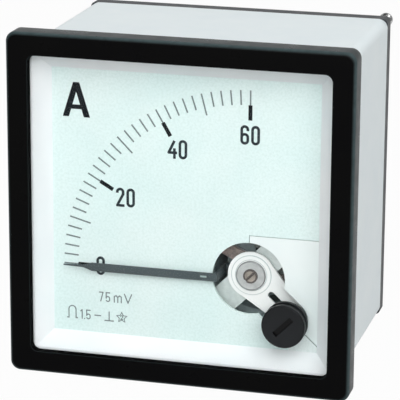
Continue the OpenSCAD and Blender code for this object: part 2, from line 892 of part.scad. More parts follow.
module zero_lever() {
    tip = lever_reach + lever_overrun;
    color([0.93, 0.95, 0.95]) at_pivot(lever_angle) {
        slab(lever_front, lever_t) difference() {
            lever_outline();
            circle(bush_r + running_gap);
            translate([fork_start, 0]) circle(fork_w / 2);
            translate([fork_start, -fork_w / 2]) square([tip, fork_w]);
        }
        slab(lever_front - lever_rib_h, lever_rib_h + eps) difference() {
            circle(lever_disc_r * 0.84);
            circle(lever_disc_r * 0.66);
        }
        translate([anchor_r_at - anchor_half, lever_back - eps, -anchor_half])
            cube([2 * anchor_half, collet_y + collet_t - lever_back, 2 * anchor_half]);
    }
}

module lever_washer() {
    gap = bridge_y - lever_back;
    color([0.8, 0.7, 0.45]) at_pivot() slab(bridge_y - gap * 0.6, gap * 0.6) difference() {
        circle(bush_r + 1.2);
        circle(bush_r + running_gap);
    }
}

// Flat spiral strip from r_in to r_out, ending at angle 0.
function spiral_point(r, a) = [r * cos(a), r * sin(a)];

module hairspring(y0) {
    steps = spring_turns * 20;
    spring_rise = anchor_r_at - anchor_half - spring_r_in - 1.5 * spring_strip;
    centre_line = [for (i = [0 : steps]) let (a = 360 * spring_turns * (i / steps - 1))
        [spring_r_in + spring_strip + spring_rise * i / steps, a]];
    slab(y0, spring_w) polygon(concat(
        [for (p = centre_line) spiral_point(p[0] + spring_strip / 2, p[1])],
        [for (i = [steps : -1 : 0]) spiral_point(centre_line[i][0] - spring_strip / 2,
            centre_line[i][1])]));
}

module front_hairspring() {
    color([0.8, 0.65, 0.4]) at_pivot(lever_angle) hairspring(collet_y + spring_lift);
}

// ---- Bearing and bridge ----------------------------------------------------------

module front_bridge() {
    color([0.82, 0.86, 0.85]) at_pivot(bridge_angle) difference() {
        union() {
            slab(bridge_y, bridge_t)
                square([2 * bridge_half_len, bridge_w], center = true);
            bar_y(0, 0, bush_front, bridge_y - bush_front + eps, bush_r);
        }
        bar_y(0, 0, bush_front - eps, bridge_back - bush_front + 2 * eps, jewel_screw_r);
        for (side = [-1, 1]) {
            bar_y(side * pillar_ring_r, 0, bridge_y - eps, bridge_t + 2 * eps,
                bridge_screw_r + running_gap);
        }
    }
}

module bridge_screws() {
    head_r = 1.7;
    head_h = 0.7;
    color([0.8, 0.7, 0.45]) at_pivot(bridge_angle) for (side = [-1, 1]) {
        difference() {
            union() {
                bar_y(side * pillar_ring_r, 0, bridge_y - eps, bridge_t + bridge_thread,
                    bridge_screw_r);
                bar_y(side * pillar_ring_r, 0, bridge_y - head_h, head_h, head_r);
            }
            translate([side * pillar_ring_r, bridge_y - head_h, 0])
                cube([2 * head_r + 1, head_h, 0.5], center = true);
        }
    }
}

module bridge_pillars() {
    color([0.8, 0.7, 0.45]) at_pivot(bridge_angle) for (side = [-1, 1]) {
        difference() {
            bar_y(side * pillar_ring_r, 0, bridge_back, core_front - bridge_back, pillar_r);
            bar_y(side * pillar_ring_r, 0, bridge_back - eps, bridge_thread + eps,
                bridge_screw_r + thread_gap);
        }
    }
}

module bridge_nut() {
    edge = 0.12;
    nut_front = bush_front - running_gap - nut_thick;
    color([0.68, 0.7, 0.7]) at_pivot() translate([0, nut_front, 0]) rotate([-90, 0, 0])
        rotate_extrude() polygon([[jewel_screw_r, 0], [nut_r - edge, 0], [nut_r, edge],
            [nut_r, nut_thick], [jewel_screw_r, nut_thick]]);
}

// Jewel screw with a driver slot across one end; face is -1 for the front, 1 for the rear.
module jewel_screw(y0, y1, face) {
    difference() {
        bar_y(0, 0, y0, y1 - y0, jewel_screw_r);
        translate([0, face < 0 ? y0 : y1, 0])
            cube([2 * jewel_screw_r + 1, 0.9, 0.5], center = true);
    }
}

module front_jewel_screw() {
    color([0.55, 0.5, 0.46]) at_pivot(45) jewel_screw(jewel_screw_front, front_jewel_y, -1);
}

module rear_jewel_screw() {
    color([0.55, 0.5, 0.46]) at_pivot(45)
        jewel_screw(rear_jewel_y + jewel_t, base_back + rear_screw_len, 1);
}

// Cup jewel; the cup opens towards the spindle at y_open.
module cup_jewel(y_open, dir) {
    translate([0, y_open, 0]) rotate([dir > 0 ? -90 : 90, 0, 0]) rotate_extrude()
        polygon([[0, cup_depth], [cup_depth, 0], [jewel_r, 0], [jewel_r, jewel_t], [0, jewel_t]]);
}

module jewels() {
    color([0.7, 0.15, 0.25]) at_pivot() {
        cup_jewel(front_jewel_y + jewel_t, -1);
        cup_jewel(rear_jewel_y, 1);
    }
}

// ---- Magnet system -----------------------------------------------------------------

module iron_yoke() {
    color([0.45, 0.46, 0.48]) at_pivot() slab(core_front, core_len) difference() {
        circle(yoke_r);
        circle(yoke_bore_r);
    }
}

module core_magnet() {
    color([0.6, 0.61, 0.63]) at_pivot(post_angle) slab(core_front, core_len) difference() {
        circle(core_r);
        for (side = [-1, 1]) translate([side * post_r_at, 0]) circle(core_screw_r + running_gap);
    }
}

module core_spacers() {
    color([0.8, 0.7, 0.45]) at_pivot(post_angle) for (side = [-1, 1]) {
        slab(core_back, base_front - core_back) translate([side * post_r_at, 0]) difference() {
            circle(post_r);
            circle(core_screw_r + running_gap);
        }
    }
}

module core_screws() {
    color([0.75, 0.77, 0.78]) at_pivot(post_angle) for (side = [-1, 1]) {
        bar_y(side * post_r_at, 0, core_front - core_screw_head_t, core_screw_head_t,
            core_screw_head_r);
        bar_y(side * post_r_at, 0, core_front - eps, base_back - core_screw_floor - core_front,
            core_screw_r);
    }
}

module movement_base() {
    rim_inner_r = yoke_bore_r + rim_recess;
    color([0.9, 0.9, 0.86]) at_pivot() difference() {
        union() {
            slab(base_front, base_t) circle(base_r);
            slab(core_back, base_front - core_back + eps) difference() {
                circle(yoke_r);
                circle(rim_inner_r);
            }
        }
        bar_y(0, 0, base_front - eps, base_t + 2 * eps, jewel_screw_r);
        for (side = [-1, 1]) {
            bar_y(side * post_r_at * cos(post_angle), side * post_r_at * sin(post_angle),
                base_front - eps, base_t - core_screw_floor + eps, core_screw_r + thread_gap);
        }
        for (a = movement_pillar_angles) {
            bar_y(pillar_ring_r * cos(a), pillar_ring_r * sin(a), base_back - movement_thread,
                movement_thread + eps, movement_screw_r + thread_gap);
        }
    }
}

module movement_pillars() {
    color([0.8, 0.7, 0.45]) at_pivot() for (a = movement_pillar_angles) {
        rotate([0, -a, 0]) slab(base_back, case_depth - base_back)
            translate([pillar_ring_r, 0]) difference() {
                circle(movement_pillar_r);
                circle(movement_screw_r + thread_gap);
            }
    }
}

module movement_screws() {
    shank = cover_back - base_back + movement_thread - 0.2;
    color([0.8, 0.7, 0.45]) for (a = movement_pillar_angles) {
        pan_screw_back(pivot_x + pillar_ring_r * cos(a), pivot_z + pillar_ring_r * sin(a),
            cover_back, shank, movement_screw_r, movement_head_r, movement_head_t);
    }
}

module spring_anchor() {
    color([0.8, 0.7, 0.45]) at_pivot(-90)
        translate([anchor_r_at - anchor_half, rear_collet_y, -anchor_half])
            cube([2 * anchor_half, base_front - rear_collet_y, 2 * anchor_half]);
}

module rear_hairspring() {
    color([0.8, 0.65, 0.4]) at_pivot(-90) hairspring(rear_collet_y + spring_lift);
}

// ---- Moving coil ---------------------------------------------------------------------

// Rectangular loop in the plane of the spindle, half_w wide from the axis.
module coil_loop(half_w, y0, y1, wall, width) {
    translate([0, 0, -width / 2]) linear_extrude(width) difference() {
        translate([-half_w, y0]) square([2 * half_w, y1 - y0]);
        translate([-half_w + wall, y0 + wall]) square([2 * (half_w - wall), y1 - y0 - 2 * wall]);
    }
}

module coil_former() {
    color([0.8, 0.82, 0.83]) at_pivot(coil_rest_angle)
        coil_loop(former_half, coil_inner_front - former_t, coil_inner_back + former_t, former_t,
            winding_w + former_lip);
}

module coil_winding() {
    color([0.6, 0.35, 0.2]) at_pivot(coil_rest_angle)
        coil_loop(coil_half, coil_front, coil_back, winding_t, winding_w);
}

// Spindle half: a foot on the coil, a shaft and a point that ends at y_tip.
module spindle(y_foot, y_tip) {
    dir = y_tip < y_foot ? 90 : -90;
    reach = abs(y_tip - y_foot);
    point = 0.6;
    translate([0, y_foot, 0]) rotate([dir, 0, 0]) rotate_extrude()
        polygon([[0, 0], [foot_r, 0], [foot_r, foot_t], [spindle_r, foot_t],
            [spindle_r, reach - point], [0, reach]]);
}

module spindles() {
    color([0.72, 0.74, 0.76]) at_pivot() {
        spindle(coil_front, front_jewel_y + jewel_t - cup_depth + tip_gap);
        spindle(coil_back, rear_jewel_y + cup_depth - tip_gap);
    }
}

module spring_collets() {
    color([0.8, 0.7, 0.45]) at_pivot() for (y0 = [collet_y, rear_collet_y]) {
        slab(y0, collet_t) difference() {
            circle(collet_r);
            circle(spindle_r);
        }
    }
}

// Front view of the blade and needle, pointing along +X.
module pointer_outline() {
    polygon([[crank_r, -blade_w / 2], [blade_end_r, -blade_w / 2],
        [blade_end_r + blade_taper, -needle_w / 2], [pointer_len, -needle_w / 4],
        [pointer_len, needle_w / 4], [blade_end_r + blade_taper, needle_w / 2],
        [blade_end_r, blade_w / 2], [crank_r, blade_w / 2]]);
}

// Hub behind the bridge, an arm, a crank forward through the cut-out, then the blade.
module pointer() {
    slot_len = 1.4;
    slot_w = 0.45;
    slot_at = 9.2;
    color([0.28, 0.32, 0.33]) at_pivot(180) {
        slab(hub_y, hub_t) difference() {
            union() {
                circle(hub_r);
                translate([0, -blade_w / 2]) square([crank_r + crank_t, blade_w]);
            }
            circle(spindle_r);
        }
        slab(pointer_front, hub_y + hub_t - pointer_front)
            translate([crank_r, -blade_w / 2]) square([crank_t, blade_w]);
        slab(pointer_front, pointer_t) difference() {
            pointer_outline();
            translate([slot_at, 0]) square([slot_len, slot_w], center = true);
        }
    }
}

module balance_cross() {
    arm_w = 0.6;
    color([0.28, 0.32, 0.33]) at_pivot(180) slab(cross_y, arm_t) difference() {
        union() {
            circle(hub_r);
            translate([-balance_r, -arm_w / 2]) square([balance_r, arm_w]);
            translate([-arm_w / 2, -balance_r]) square([arm_w, 2 * balance_r]);
        }
        circle(spindle_r);
    }
}

// Weight on the end of the balance arm that points at angle a.
module arm_weight(a, r, len) {
    rotate([0, -a, 0]) translate([balance_r, cross_y + arm_t / 2, 0]) rotate([0, 90, 0])
        cylinder(r = r, h = len, $fn = 32);
}

// The long weight opposite the pointer brings the moving coil into balance.
module balance_weights() {
    color([0.8, 0.7, 0.45]) at_pivot(180) {
        for (a = [90, 270]) arm_weight(a, weight_r, weight_len);
        arm_weight(180, tail_weight_r, tail_weight_len);
    }
}

// ---- Terminals and wiring ----------------------------------------------------------

module terminal_studs() {
    color([0.82, 0.7, 0.42]) for (side = [-1, 1]) translate([side * terminal_x, 0, terminal_z]) {
        slab(case_depth - tag_t - bolt_head_t, bolt_head_t) hexagon(nut_af);
        translate([0, case_depth - tag_t - eps, 0]) rotate([-90, 0, 0])
            cylinder(r = shank_r, h = stack_back - case_depth + tag_t + 2 * eps);
        translate([0, stack_back, 0]) rotate([-90, 0, 0]) rotate_extrude()
            polygon([[0, 0], [terminal_r, 0], [terminal_r, free_len - tip_bevel],
                [terminal_r - tip_bevel, free_len], [0, free_len]]);
    }
}

module terminal_nuts() {
    color([0.82, 0.7, 0.42]) for (side = [-1, 1], level = [0, 1]) {
        translate([side * terminal_x, cover_back + washer_t + level * (nut_t + washer_t),
            terminal_z]) slab(0, nut_t) difference() {
                hexagon(nut_af);
                circle(shank_r);
            }
    }
}

module terminal_washers() {
    color([0.82, 0.7, 0.42]) for (side = [-1, 1], level = [0, 1]) {
        translate([side * terminal_x, cover_back + level * (nut_t + washer_t), terminal_z])
            slab(0, washer_t) difference() {
                circle(washer_r);
                circle(shank_r);
            }
    }
}

// Solder tag under each terminal head, pointing down.
module terminal_tags() {
    color([0.82, 0.84, 0.85]) for (side = [-1, 1]) translate([side * terminal_x, 0, terminal_z]) {
        slab(case_depth - tag_t, tag_t) difference() {
            union() {
                circle(tag_eye_r);
                translate([-tag_w / 2, -tag_len]) square([tag_w, tag_len]);
            }
            circle(shank_r);
        }
    }
}

module series_resistor() {
    color([0.75, 0.68, 0.5]) translate(resistor_at) {
        rotate([0, 90, 0]) cylinder(r = resistor_r, h = resistor_len, center = true);
        rotate([0, 90, 0]) cylinder(r = resistor_lead_r, h = resistor_len + 2 * resistor_lead,
            center = true, $fn = 24);
    }
}

module lead_wires() {
    tag_y = case_depth - tag_t - wire_r;
    tag_z = terminal_z - tag_len + 1;
    left_end = resistor_at[0] - resistor_len / 2 - resistor_lead;
    right_end = resistor_at[0] + resistor_len / 2 + resistor_lead;
    rim_x = pivot_x - base_r;
    color([0.7, 0.12, 0.1]) {
        wire_run([[-terminal_x, tag_y, tag_z],
            [-terminal_x - 2 * wire_bend, tag_y - wire_bend / 3, tag_z - wire_bend],
            [left_end - wire_bend, resistor_at[1], resistor_at[2]],
            [left_end, resistor_at[1], resistor_at[2]]], wire_r);
        wire_run([[right_end, resistor_at[1], resistor_at[2]],
            [right_end + wire_bend / 2, resistor_at[1], resistor_at[2]],
            [rim_x - wire_bend, base_back - base_t / 2, pivot_z],
            [rim_x, base_back - base_t / 2, pivot_z]], wire_r);
        wire_run([[terminal_x, tag_y, tag_z],
            [case_inner - 2 * wire_bend, tag_y - wire_bend, tag_z],
            [case_inner - wire_bend, core_back, tag_z - wire_bend],
            [case_inner - 2 * wire_bend, core_front - wire_bend, pivot_z + yoke_r]], wire_r);
    }
}

// Raised plus and minus beside the terminals.
module polarity_marks() {
    at_z = terminal_z - washer_r - polarity_w;
    color([0.9, 0.92, 0.92]) slab(cover_back, polarity_raise) {
        translate([terminal_x, at_z]) {
            square([polarity_w, polarity_line], center = true);
            square([polarity_line, polarity_w], center = true);
        }
        translate([-terminal_x, at_z]) square([polarity_w, polarity_line], center = true);
    }
}

bezel();
window();
inner_frame();
case();
rear_cover();
cover_screws();
fixing_studs();
dial_plate();
corner_plate();
scale_marks();
scale_bars();
scale_numbers();
unit_mark();
dial_symbols();
zero_adjuster();
adjuster_ring();
zero_lever();
lever_washer();
front_hairspring();
front_bridge();
bridge_screws();
bridge_pillars();
bridge_nut();
front_jewel_screw();
rear_jewel_screw();
jewels();
iron_yoke();
core_magnet();
core_spacers();
core_screws();
movement_base();
movement_pillars();
movement_screws();
spring_anchor();
rear_hairspring();
coil_former();
coil_winding();
spindles();
spring_collets();
pointer();
balance_cross();
balance_weights();
terminal_studs();
terminal_nuts();
terminal_washers();
terminal_tags();
series_resistor();
lead_wires();
polarity_marks();
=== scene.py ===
"""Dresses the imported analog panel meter: bezel, dial, movement, case and terminals.

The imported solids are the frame. Every length below is written in millimetres in that
frame (+X right, +Y backwards, +Z up) and becomes metres where a mesh or a lamp is made.
"""

from __future__ import annotations

import logging
import math
from dataclasses import dataclass, field
from enum import Enum

import bmesh
import bpy
import numpy as np
from mathutils import Matrix, Vector


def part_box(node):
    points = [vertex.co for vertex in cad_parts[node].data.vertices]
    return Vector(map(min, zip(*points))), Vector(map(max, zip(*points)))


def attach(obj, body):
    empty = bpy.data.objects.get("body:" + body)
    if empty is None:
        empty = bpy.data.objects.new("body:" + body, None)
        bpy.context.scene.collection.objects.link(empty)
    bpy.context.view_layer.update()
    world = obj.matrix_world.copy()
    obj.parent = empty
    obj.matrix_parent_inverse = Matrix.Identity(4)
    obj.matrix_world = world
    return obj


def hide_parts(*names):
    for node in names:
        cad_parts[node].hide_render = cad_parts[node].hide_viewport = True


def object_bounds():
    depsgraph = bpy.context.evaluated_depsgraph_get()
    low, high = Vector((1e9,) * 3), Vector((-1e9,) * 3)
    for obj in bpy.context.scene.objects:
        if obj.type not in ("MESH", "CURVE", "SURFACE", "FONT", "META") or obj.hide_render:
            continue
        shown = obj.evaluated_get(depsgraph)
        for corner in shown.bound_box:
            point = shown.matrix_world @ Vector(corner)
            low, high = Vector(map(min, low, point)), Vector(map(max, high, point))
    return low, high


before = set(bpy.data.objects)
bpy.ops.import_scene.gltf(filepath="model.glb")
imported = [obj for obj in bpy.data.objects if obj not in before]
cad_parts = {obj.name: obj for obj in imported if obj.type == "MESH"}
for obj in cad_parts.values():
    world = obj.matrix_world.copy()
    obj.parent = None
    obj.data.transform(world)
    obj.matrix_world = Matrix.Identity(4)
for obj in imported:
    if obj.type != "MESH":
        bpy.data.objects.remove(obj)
CAD_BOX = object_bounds()
MM = 0.001
DOUBLES_M = 2e-7  # Points closer than this are one.
FAR_MM = 99.0  # A limit that nothing on the meter reaches.
RINGS_PER_SCALE = 0.314  # Scale at which rings are one unit apart.
LOG = logging.getLogger("panel_meter")

Array = np.ndarray
Object = bpy.types.Object
Material = bpy.types.Material
Socket = bpy.types.NodeSocket
Pair = tuple[float, float]
Row = tuple[float, ...]
RGB = tuple[float, float, float]


# ---- Small maths ----


def linear(colour: RGB) -> tuple[float, float, float, float]:
    """Turns a colour written in 0 to 255 display steps into linear light.

    Args:
        colour: Red, green and blue, each from 0 to 255.

    Returns:
        The linear colour with an alpha of 1.
    """
    c = np.asarray(colour, float) / 255.0
    low, high = c / 12.92, ((c + 0.055) / 1.055) ** 2.4
    return (*[float(v) for v in np.where(c <= 0.04045, low, high)], 1.0)


def box_mm(node: str) -> tuple[Array, Array]:
    """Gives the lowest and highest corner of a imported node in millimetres."""
    low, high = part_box(node)
    return np.array(low) / MM, np.array(high) / MM


def radius_of(node: str) -> float:
    """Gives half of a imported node's width in X."""
    low, high = box_mm(node)
    return float((high - low)[0] / 2)


def axis_of(node: str) -> Pair:
    """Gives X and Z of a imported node's middle, where its axis along +Y runs."""
    x, _, z = sum(box_mm(node)) / 2
    return float(x), float(z)


def soften(points: Array, cuts: Row, steps: int) -> Array:
    """Rounds the corners of a closed profile.

    Each corner V is replaced by the curve (1-s)^2 A + 2s(1-s) V + s^2 B, where A and B
    lie on the two sides that meet in V, one cut away from it, and s runs from 0 to 1.

    Args:
        points: Corners of the profile, one row each, in any number of dimensions.
        cuts: How far from each corner its rounding starts.
        steps: Points along each rounding.

    Returns:
        The points of the rounded profile, in order.
    """

    def towards(step: int) -> Array:
        """Goes one cut from each corner towards its neighbour, step rows back."""
        side = np.roll(points, step, axis=0) - points
        length = np.linalg.norm(side, axis=1, keepdims=True)
        return (points + side / length * np.array(cuts)[:, None])[:, None, :]

    s = np.linspace(0.0, 1.0, steps)[None, :, None]
    start, end = towards(1), towards(-1)
    curve = (1 - s) ** 2 * start + 2 * s * (1 - s) * points[:, None, :] + s**2 * end
    return curve.reshape(-1, points.shape[1])


# ---- Mesh making ----


def placed(name: str, data: bpy.types.ID) -> Object:
    """Makes an object of a mesh, lamp or camera and puts it in the scene.

    Args:
        name: Name of the object.
        data: What it shows.

    Returns:
        The object, at the origin.
    """
    obj = bpy.data.objects.new(name, data)
    bpy.context.scene.collection.objects.link(obj)
    return obj


@dataclass
class Shape:
    """Points and faces of one piece, gathered from several grids, in millimetres."""

    points: list[Array] = field(default_factory=list)
    faces: list[list[int]] = field(default_factory=list)
    edge: list[Array] = field(default_factory=list)
    count: int = 0

    def add(self, grid: Array, wrap: bool, edge: Array | None = None) -> Shape:
        """Adds a grid of loops, each loop closed on itself.

        Args:
            grid: Array of loops by points by three coordinates.
            wrap: True if the last loop joins the first; if not, both are points.
            edge: How much of the paler edge colour each loop takes, up to 1, partly
                rubbing
            and partly painted sheen; or how sheltered it is, down to -1.

        Returns:
            The shape itself.
        """
        rows, columns = grid.shape[:2]
        r = np.arange(rows if wrap else rows - 1)[:, None]
        c = np.arange(columns)[None, :]
        r2, c2 = (r + 1) % rows, (c + 1) % columns
        quads = np.stack([r * columns + c, r * columns + c2, r2 * columns + c2,
                          r2 * columns + c], -1).reshape(-1, 4)
        self.points.append(grid.reshape(-1, 3))
        self.faces.extend((quads + self.count).tolist())
        wear_and_sheen = np.zeros(rows) if edge is None else edge
        self.edge.append(np.repeat(wear_and_sheen, columns))
        self.count += rows * columns
        return self

    def build(self, name: str, sharp_deg: float) -> Object:
        """Makes the mesh object, with doubles merged and faces pointing outwards.

        Args:
            name: Name of the new object.
            sharp_deg: Edges that turn by more than this stay sharp.

        Returns:
            The object, at the origin.
        """
        mesh = bpy.data.meshes.new(name)
        mesh.from_pydata((np.concatenate(self.points) * MM).tolist(), [], self.faces)
        rub_and_sheen = mesh.attributes.new("wear_and_sheen_edge", "FLOAT", "POINT")
        rub_and_sheen.data.foreach_set("value", np.concatenate(self.edge).astype(np.float32))
        work = bmesh.new()
        work.from_mesh(mesh)
        bmesh.ops.remove_doubles(work, verts=work.verts, dist=DOUBLES_M)
        bmesh.ops.dissolve_degenerate(work, edges=work.edges, dist=DOUBLES_M / 2)
        bmesh.ops.recalc_face_normals(work, faces=work.faces)
        work.to_mesh(mesh)
        work.free()
        mesh.polygons.foreach_set("use_smooth", [True] * len(mesh.polygons))
        mesh.set_sharp_from_angle(angle=math.radians(sharp_deg))
        return placed(name, mesh)


def rounded_loops(half_a: Array, half_b: Array, radius: Array, depth: Array,
                  steps: int) -> Array:
    """Carries a profile round a rectangle with rounded corners.

    For each profile point the loop is the rectangle of that point's half sizes; each
    corner is a quarter circle of its radius about the corner moved in by that radius.

    Args:
        half_a: Half size along the first axis, for each profile point.
        half_b: Half size along the second axis.
        radius: Corner radius.
        depth: Place along the third axis.
        steps: Steps round each corner.

    Returns:
        Array of profile points by loop points by (first, second, third) coordinate.
    """
    quarter = np.linspace(0.0, math.pi / 2, steps + 1)
    angle = (np.arange(4)[:, None] * math.pi / 2 + quarter).ravel()
    sign_a = np.repeat([1.0, -1.0, -1.0, 1.0], steps + 1)
    sign_b = np.repeat([1.0, 1.0, -1.0, -1.0], steps + 1)
    a = sign_a * (half_a - radius)[:, None] + radius[:, None] * np.cos(angle)
    b = sign_b * (half_b - radius)[:, None] + radius[:, None] * np.sin(angle)
    return np.stack([a, b, np.broadcast_to(depth[:, None], a.shape)], -1)


def swept(section: Array, steps: int, wear_and_sheen: Array | None = None) -> Shape:
    """Carries a section round a rounded square that faces along Y.

    Args:
        section: Rows of half size, depth along Y and corner radius.
        steps: Steps round each corner.
        wear_and_sheen: How much paler edge colour each row takes, partly rubbing and
        partly painted sheen.

    Returns:
        The closed shape.
    """
    half, depth, radius = section.T
    grid = rounded_loops(half, half, radius, depth, steps)
    return Shape().add(grid[..., [0, 2, 1]], wrap=True, edge=wear_and_sheen)


def turned(profile: Array, centre: Pair, steps: int = 64) -> Array:
    """Turns a profile round an axis along +Y.

    A point with radius r and depth y becomes the circle (r cos t, y, r sin t).

    Args:
        profile: Rows of radius and depth.
        centre: The axis's place in X and Z.
        steps: Steps round the circle.

    Returns:
        Array of profile points by steps by three coordinates.
    """
    angle = np.arange(steps) * 2 * math.pi / steps
    r, y = profile[:, :1], profile[:, 1:2]
    grid = [centre[0] + r * np.cos(angle), y + 0 * angle, centre[1] + r * np.sin(angle)]
    return np.stack(grid, -1)


# ---- Finishes ----


@dataclass(frozen=True)
class ShadeOrTone:
    """A tone of its own on a ring round an axis along +Y, or on one part of it.

    Most are painted shade, in a slot, on a rim or beside a ridge; the dial's is a patch of
    the corner plate's own colour. The tone shows where every limit holds; a limit of
    FAR_MM either way always does.
    """

    centre: Pair
    colour: RGB
    inside_mm: float = FAR_MM
    beyond_mm: float = -FAR_MM
    deeper_mm: float = -FAR_MM
    right_of_mm: float = -FAR_MM
    below_mm: float = FAR_MM


class Nodes:
    """A node tree while it is put together."""

    def __init__(self, tree: bpy.types.NodeTree) -> None:
        """Takes the material's or world's tree that gets the nodes."""
        self.tree = tree

    def node(self, kind: str, **values: object) -> bpy.types.Node:
        """Adds a node; a value goes to the node's property or to its input socket.

        Args:
            kind: Blender's name of the node type.
            **values: Property names, or socket names with _ for a space.

        Returns:
            The node.
        """
        made = self.tree.nodes.new(kind)
        for key, value in values.items():
            if hasattr(made, key):
                setattr(made, key, value)
            else:
                made.inputs[key.replace("_", " ")].default_value = value
        return made

    def link(self, source: Socket, target: Socket) -> None:
        """Joins two sockets."""
        self.tree.links.new(source, target)

    def maths(self, operation: str, first: Socket, second: Socket | float) -> Socket:
        """Takes one step of arithmetic.

        Args:
            operation: Blender's name of the step.
            first: The first value.
            second: The second value, a socket or a number.

        Returns:
            The result.
        """
        step = self.node("ShaderNodeMath", operation=operation)
        self.link(first, step.inputs[0])
        if isinstance(second, float):
            step.inputs[1].default_value = second
        else:
            self.link(second, step.inputs[1])
        return step.outputs[0]


class Shader(Nodes):
    """A material while its nodes are put together."""

    def __init__(self, name: str, **values: object) -> None:
        """Starts a material with one Principled shader.

        Args:
            name: Name of the material.
            **values: Constants on the shader's sockets, _ for a space.
        """
        self.material = bpy.data.materials.new(name)
        self.material.use_nodes = True
        super().__init__(self.material.node_tree)
        self.base = self.tree.nodes["Principled BSDF"]
        for key, value in values.items():
            self.base.inputs[key.replace("_", " ")].default_value = value
        self.tone = self.base.inputs["Base Color"]
        self.rough = self.base.inputs["Roughness"]
        self.place = self.node("ShaderNodeTexCoord").outputs["Object"]

    def mapped(self, **values: object) -> Socket:
        """Gives the place on the piece, moved and scaled by a mapping's sockets."""
        mapping = self.node("ShaderNodeMapping", **values)
        self.link(self.place, mapping.inputs["Vector"])
        return mapping.outputs[0]

    def noise(self, size_mm: float, detail: float,
              stretch: Row | None = None) -> Socket:
        """Noise whose features have a size in millimetres.

        Args:
            size_mm: Size of a feature.
            detail: Finer layers on top of it.
            stretch: How much finer the noise is along each axis.

        Returns:
            The noise's value.
        """
        place = self.place if stretch is None else self.mapped(Scale=stretch)
        cloud = self.node("ShaderNodeTexNoise", Scale=1.0 / (size_mm * MM), Detail=detail)
        self.link(place, cloud.inputs["Vector"])
        return cloud.outputs[0]

    def tint(self, amount: Socket, low: RGB, high: RGB, start: float = 0.35,
             end: float = 0.65) -> Socket:
        """Runs from one colour to another as the amount grows.

        Args:
            amount: Socket from 0 to 1.
            low: Colour at the start, 0 to 255.
            high: Colour at the end.
            start: Amount where the first colour ends.
            end: Amount where the second colour begins.

        Returns:
            The colour.
        """
        ramp = self.node("ShaderNodeValToRGB")
        stops = ramp.color_ramp.elements
        stops[0].position, stops[0].color = start, linear(low)
        stops[1].position, stops[1].color = end, linear(high)
        self.link(amount, ramp.inputs["Fac"])
        return ramp.outputs["Color"]

    def spread(self, amount: Socket, low: float, high: float) -> Socket:
        """Maps an amount from 0.3 to 0.7 onto a range.

        Args:
            amount: Socket to map.
            low: Value at 0.3.
            high: Value at 0.7.

        Returns:
            The mapped value.
        """
        mapped = self.node("ShaderNodeMapRange", From_Min=0.3, From_Max=0.7, To_Min=low,
                           To_Max=high)
        self.link(amount, mapped.inputs["Value"])
        return mapped.outputs[0]

    def bump(self, height: Socket, depth_mm: float) -> None:
        """Raises the surface by a height pattern.

        Args:
            height: Socket from 0 to 1.
            depth_mm: Height of the relief.
        """
        relief = self.node("ShaderNodeBump", Distance=depth_mm * MM, Strength=1.0)
        self.link(height, relief.inputs["Height"])
        self.link(relief.outputs[0], self.base.inputs["Normal"])

    def about(self, centre: Pair, depth: float) -> Socket:
        """Gives the place from an axis along +Y, its Y coordinate times the depth."""
        return self.mapped(Scale=(1.0, depth, 1.0),
                           Location=(-centre[0] * MM, 0.0, -centre[1] * MM))

    def rings(self, centre: Pair, pitch_mm: float) -> Socket:
        """Fine rings round an axis along +Y, as a lathe leaves them.

        Args:
            centre: The axis's place in X and Z.
            pitch_mm: Distance between two rings.

        Returns:
            The rings' value.
        """
        wave = self.node("ShaderNodeTexWave", wave_type="RINGS", rings_direction="Y",
                         Scale=RINGS_PER_SCALE / (pitch_mm * MM), Distortion=0.6,
                         Detail=2.0)
        self.link(self.about(centre, 1.0), wave.inputs["Vector"])
        return wave.outputs["Fac"]

    def blend(self, amount: Socket, tone: Socket, colour: RGB) -> Socket:
        """Covers a tone with a colour.

        Args:
            amount: How much of the colour shows, from 0 to 1.
            tone: The colour so far.
            colour: The colour on top, 0 to 255.

        Returns:
            The blended colour.
        """
        mix = self.node("ShaderNodeMix", data_type="RGBA", B=linear(colour))
        self.link(amount, mix.inputs["Factor"])
        self.link(tone, mix.inputs["A"])
        return mix.outputs["Result"]

    def shaded(self, tone: Socket, shades_or_tones: tuple[ShadeOrTone, ...]) -> Socket:
        """Puts each shade's colour on its ring and leaves the tone elsewhere.

        Args:
            tone: The colour so far.
            shades_or_tones: The rings, their limits and their colours.

        Returns:
            The colour with the rings in it.
        """
        for shade in shades_or_tones:
            length = self.node("ShaderNodeVectorMath", operation="LENGTH")
            self.link(self.about(shade.centre, 0.0), length.inputs[0])
            reach = length.outputs["Value"]
            at = self.node("ShaderNodeSeparateXYZ")
            self.link(self.place, at.inputs[0])
            mask = self.maths("LESS_THAN", reach, shade.inside_mm * MM)
            for source, limit, sense in (
                    (reach, shade.beyond_mm, "GREATER_THAN"),
                    (at.outputs["Y"], shade.deeper_mm, "GREATER_THAN"),
                    (at.outputs["X"], shade.right_of_mm, "GREATER_THAN"),
                    (at.outputs["Z"], shade.below_mm, "LESS_THAN")):
                mask = self.maths("MULTIPLY", mask, self.maths(sense, source, limit * MM))
            tone = self.blend(mask, tone, shade.colour)
        return tone

    def cover(self, amount: Socket, other: bpy.types.Node) -> None:
        """Shows another shader in place of the Principled one.

        Args:
            amount: How much of the other shader shows, from 0 to 1.
            other: The other shader's node.
        """
        mix = self.node("ShaderNodeMixShader")
        self.link(amount, mix.inputs["Fac"])
        self.link(self.base.outputs[0], mix.inputs[1])
        self.link(other.outputs[0], mix.inputs[2])
        self.link(mix.outputs[0], self.tree.nodes["Material Output"].inputs["Surface"])


@dataclass(frozen=True)
class Finish:
    """What every finish has: a name and a way to build its material."""

    name: str

    def material(self) -> Material:
        """Builds the material."""
        raise NotImplementedError


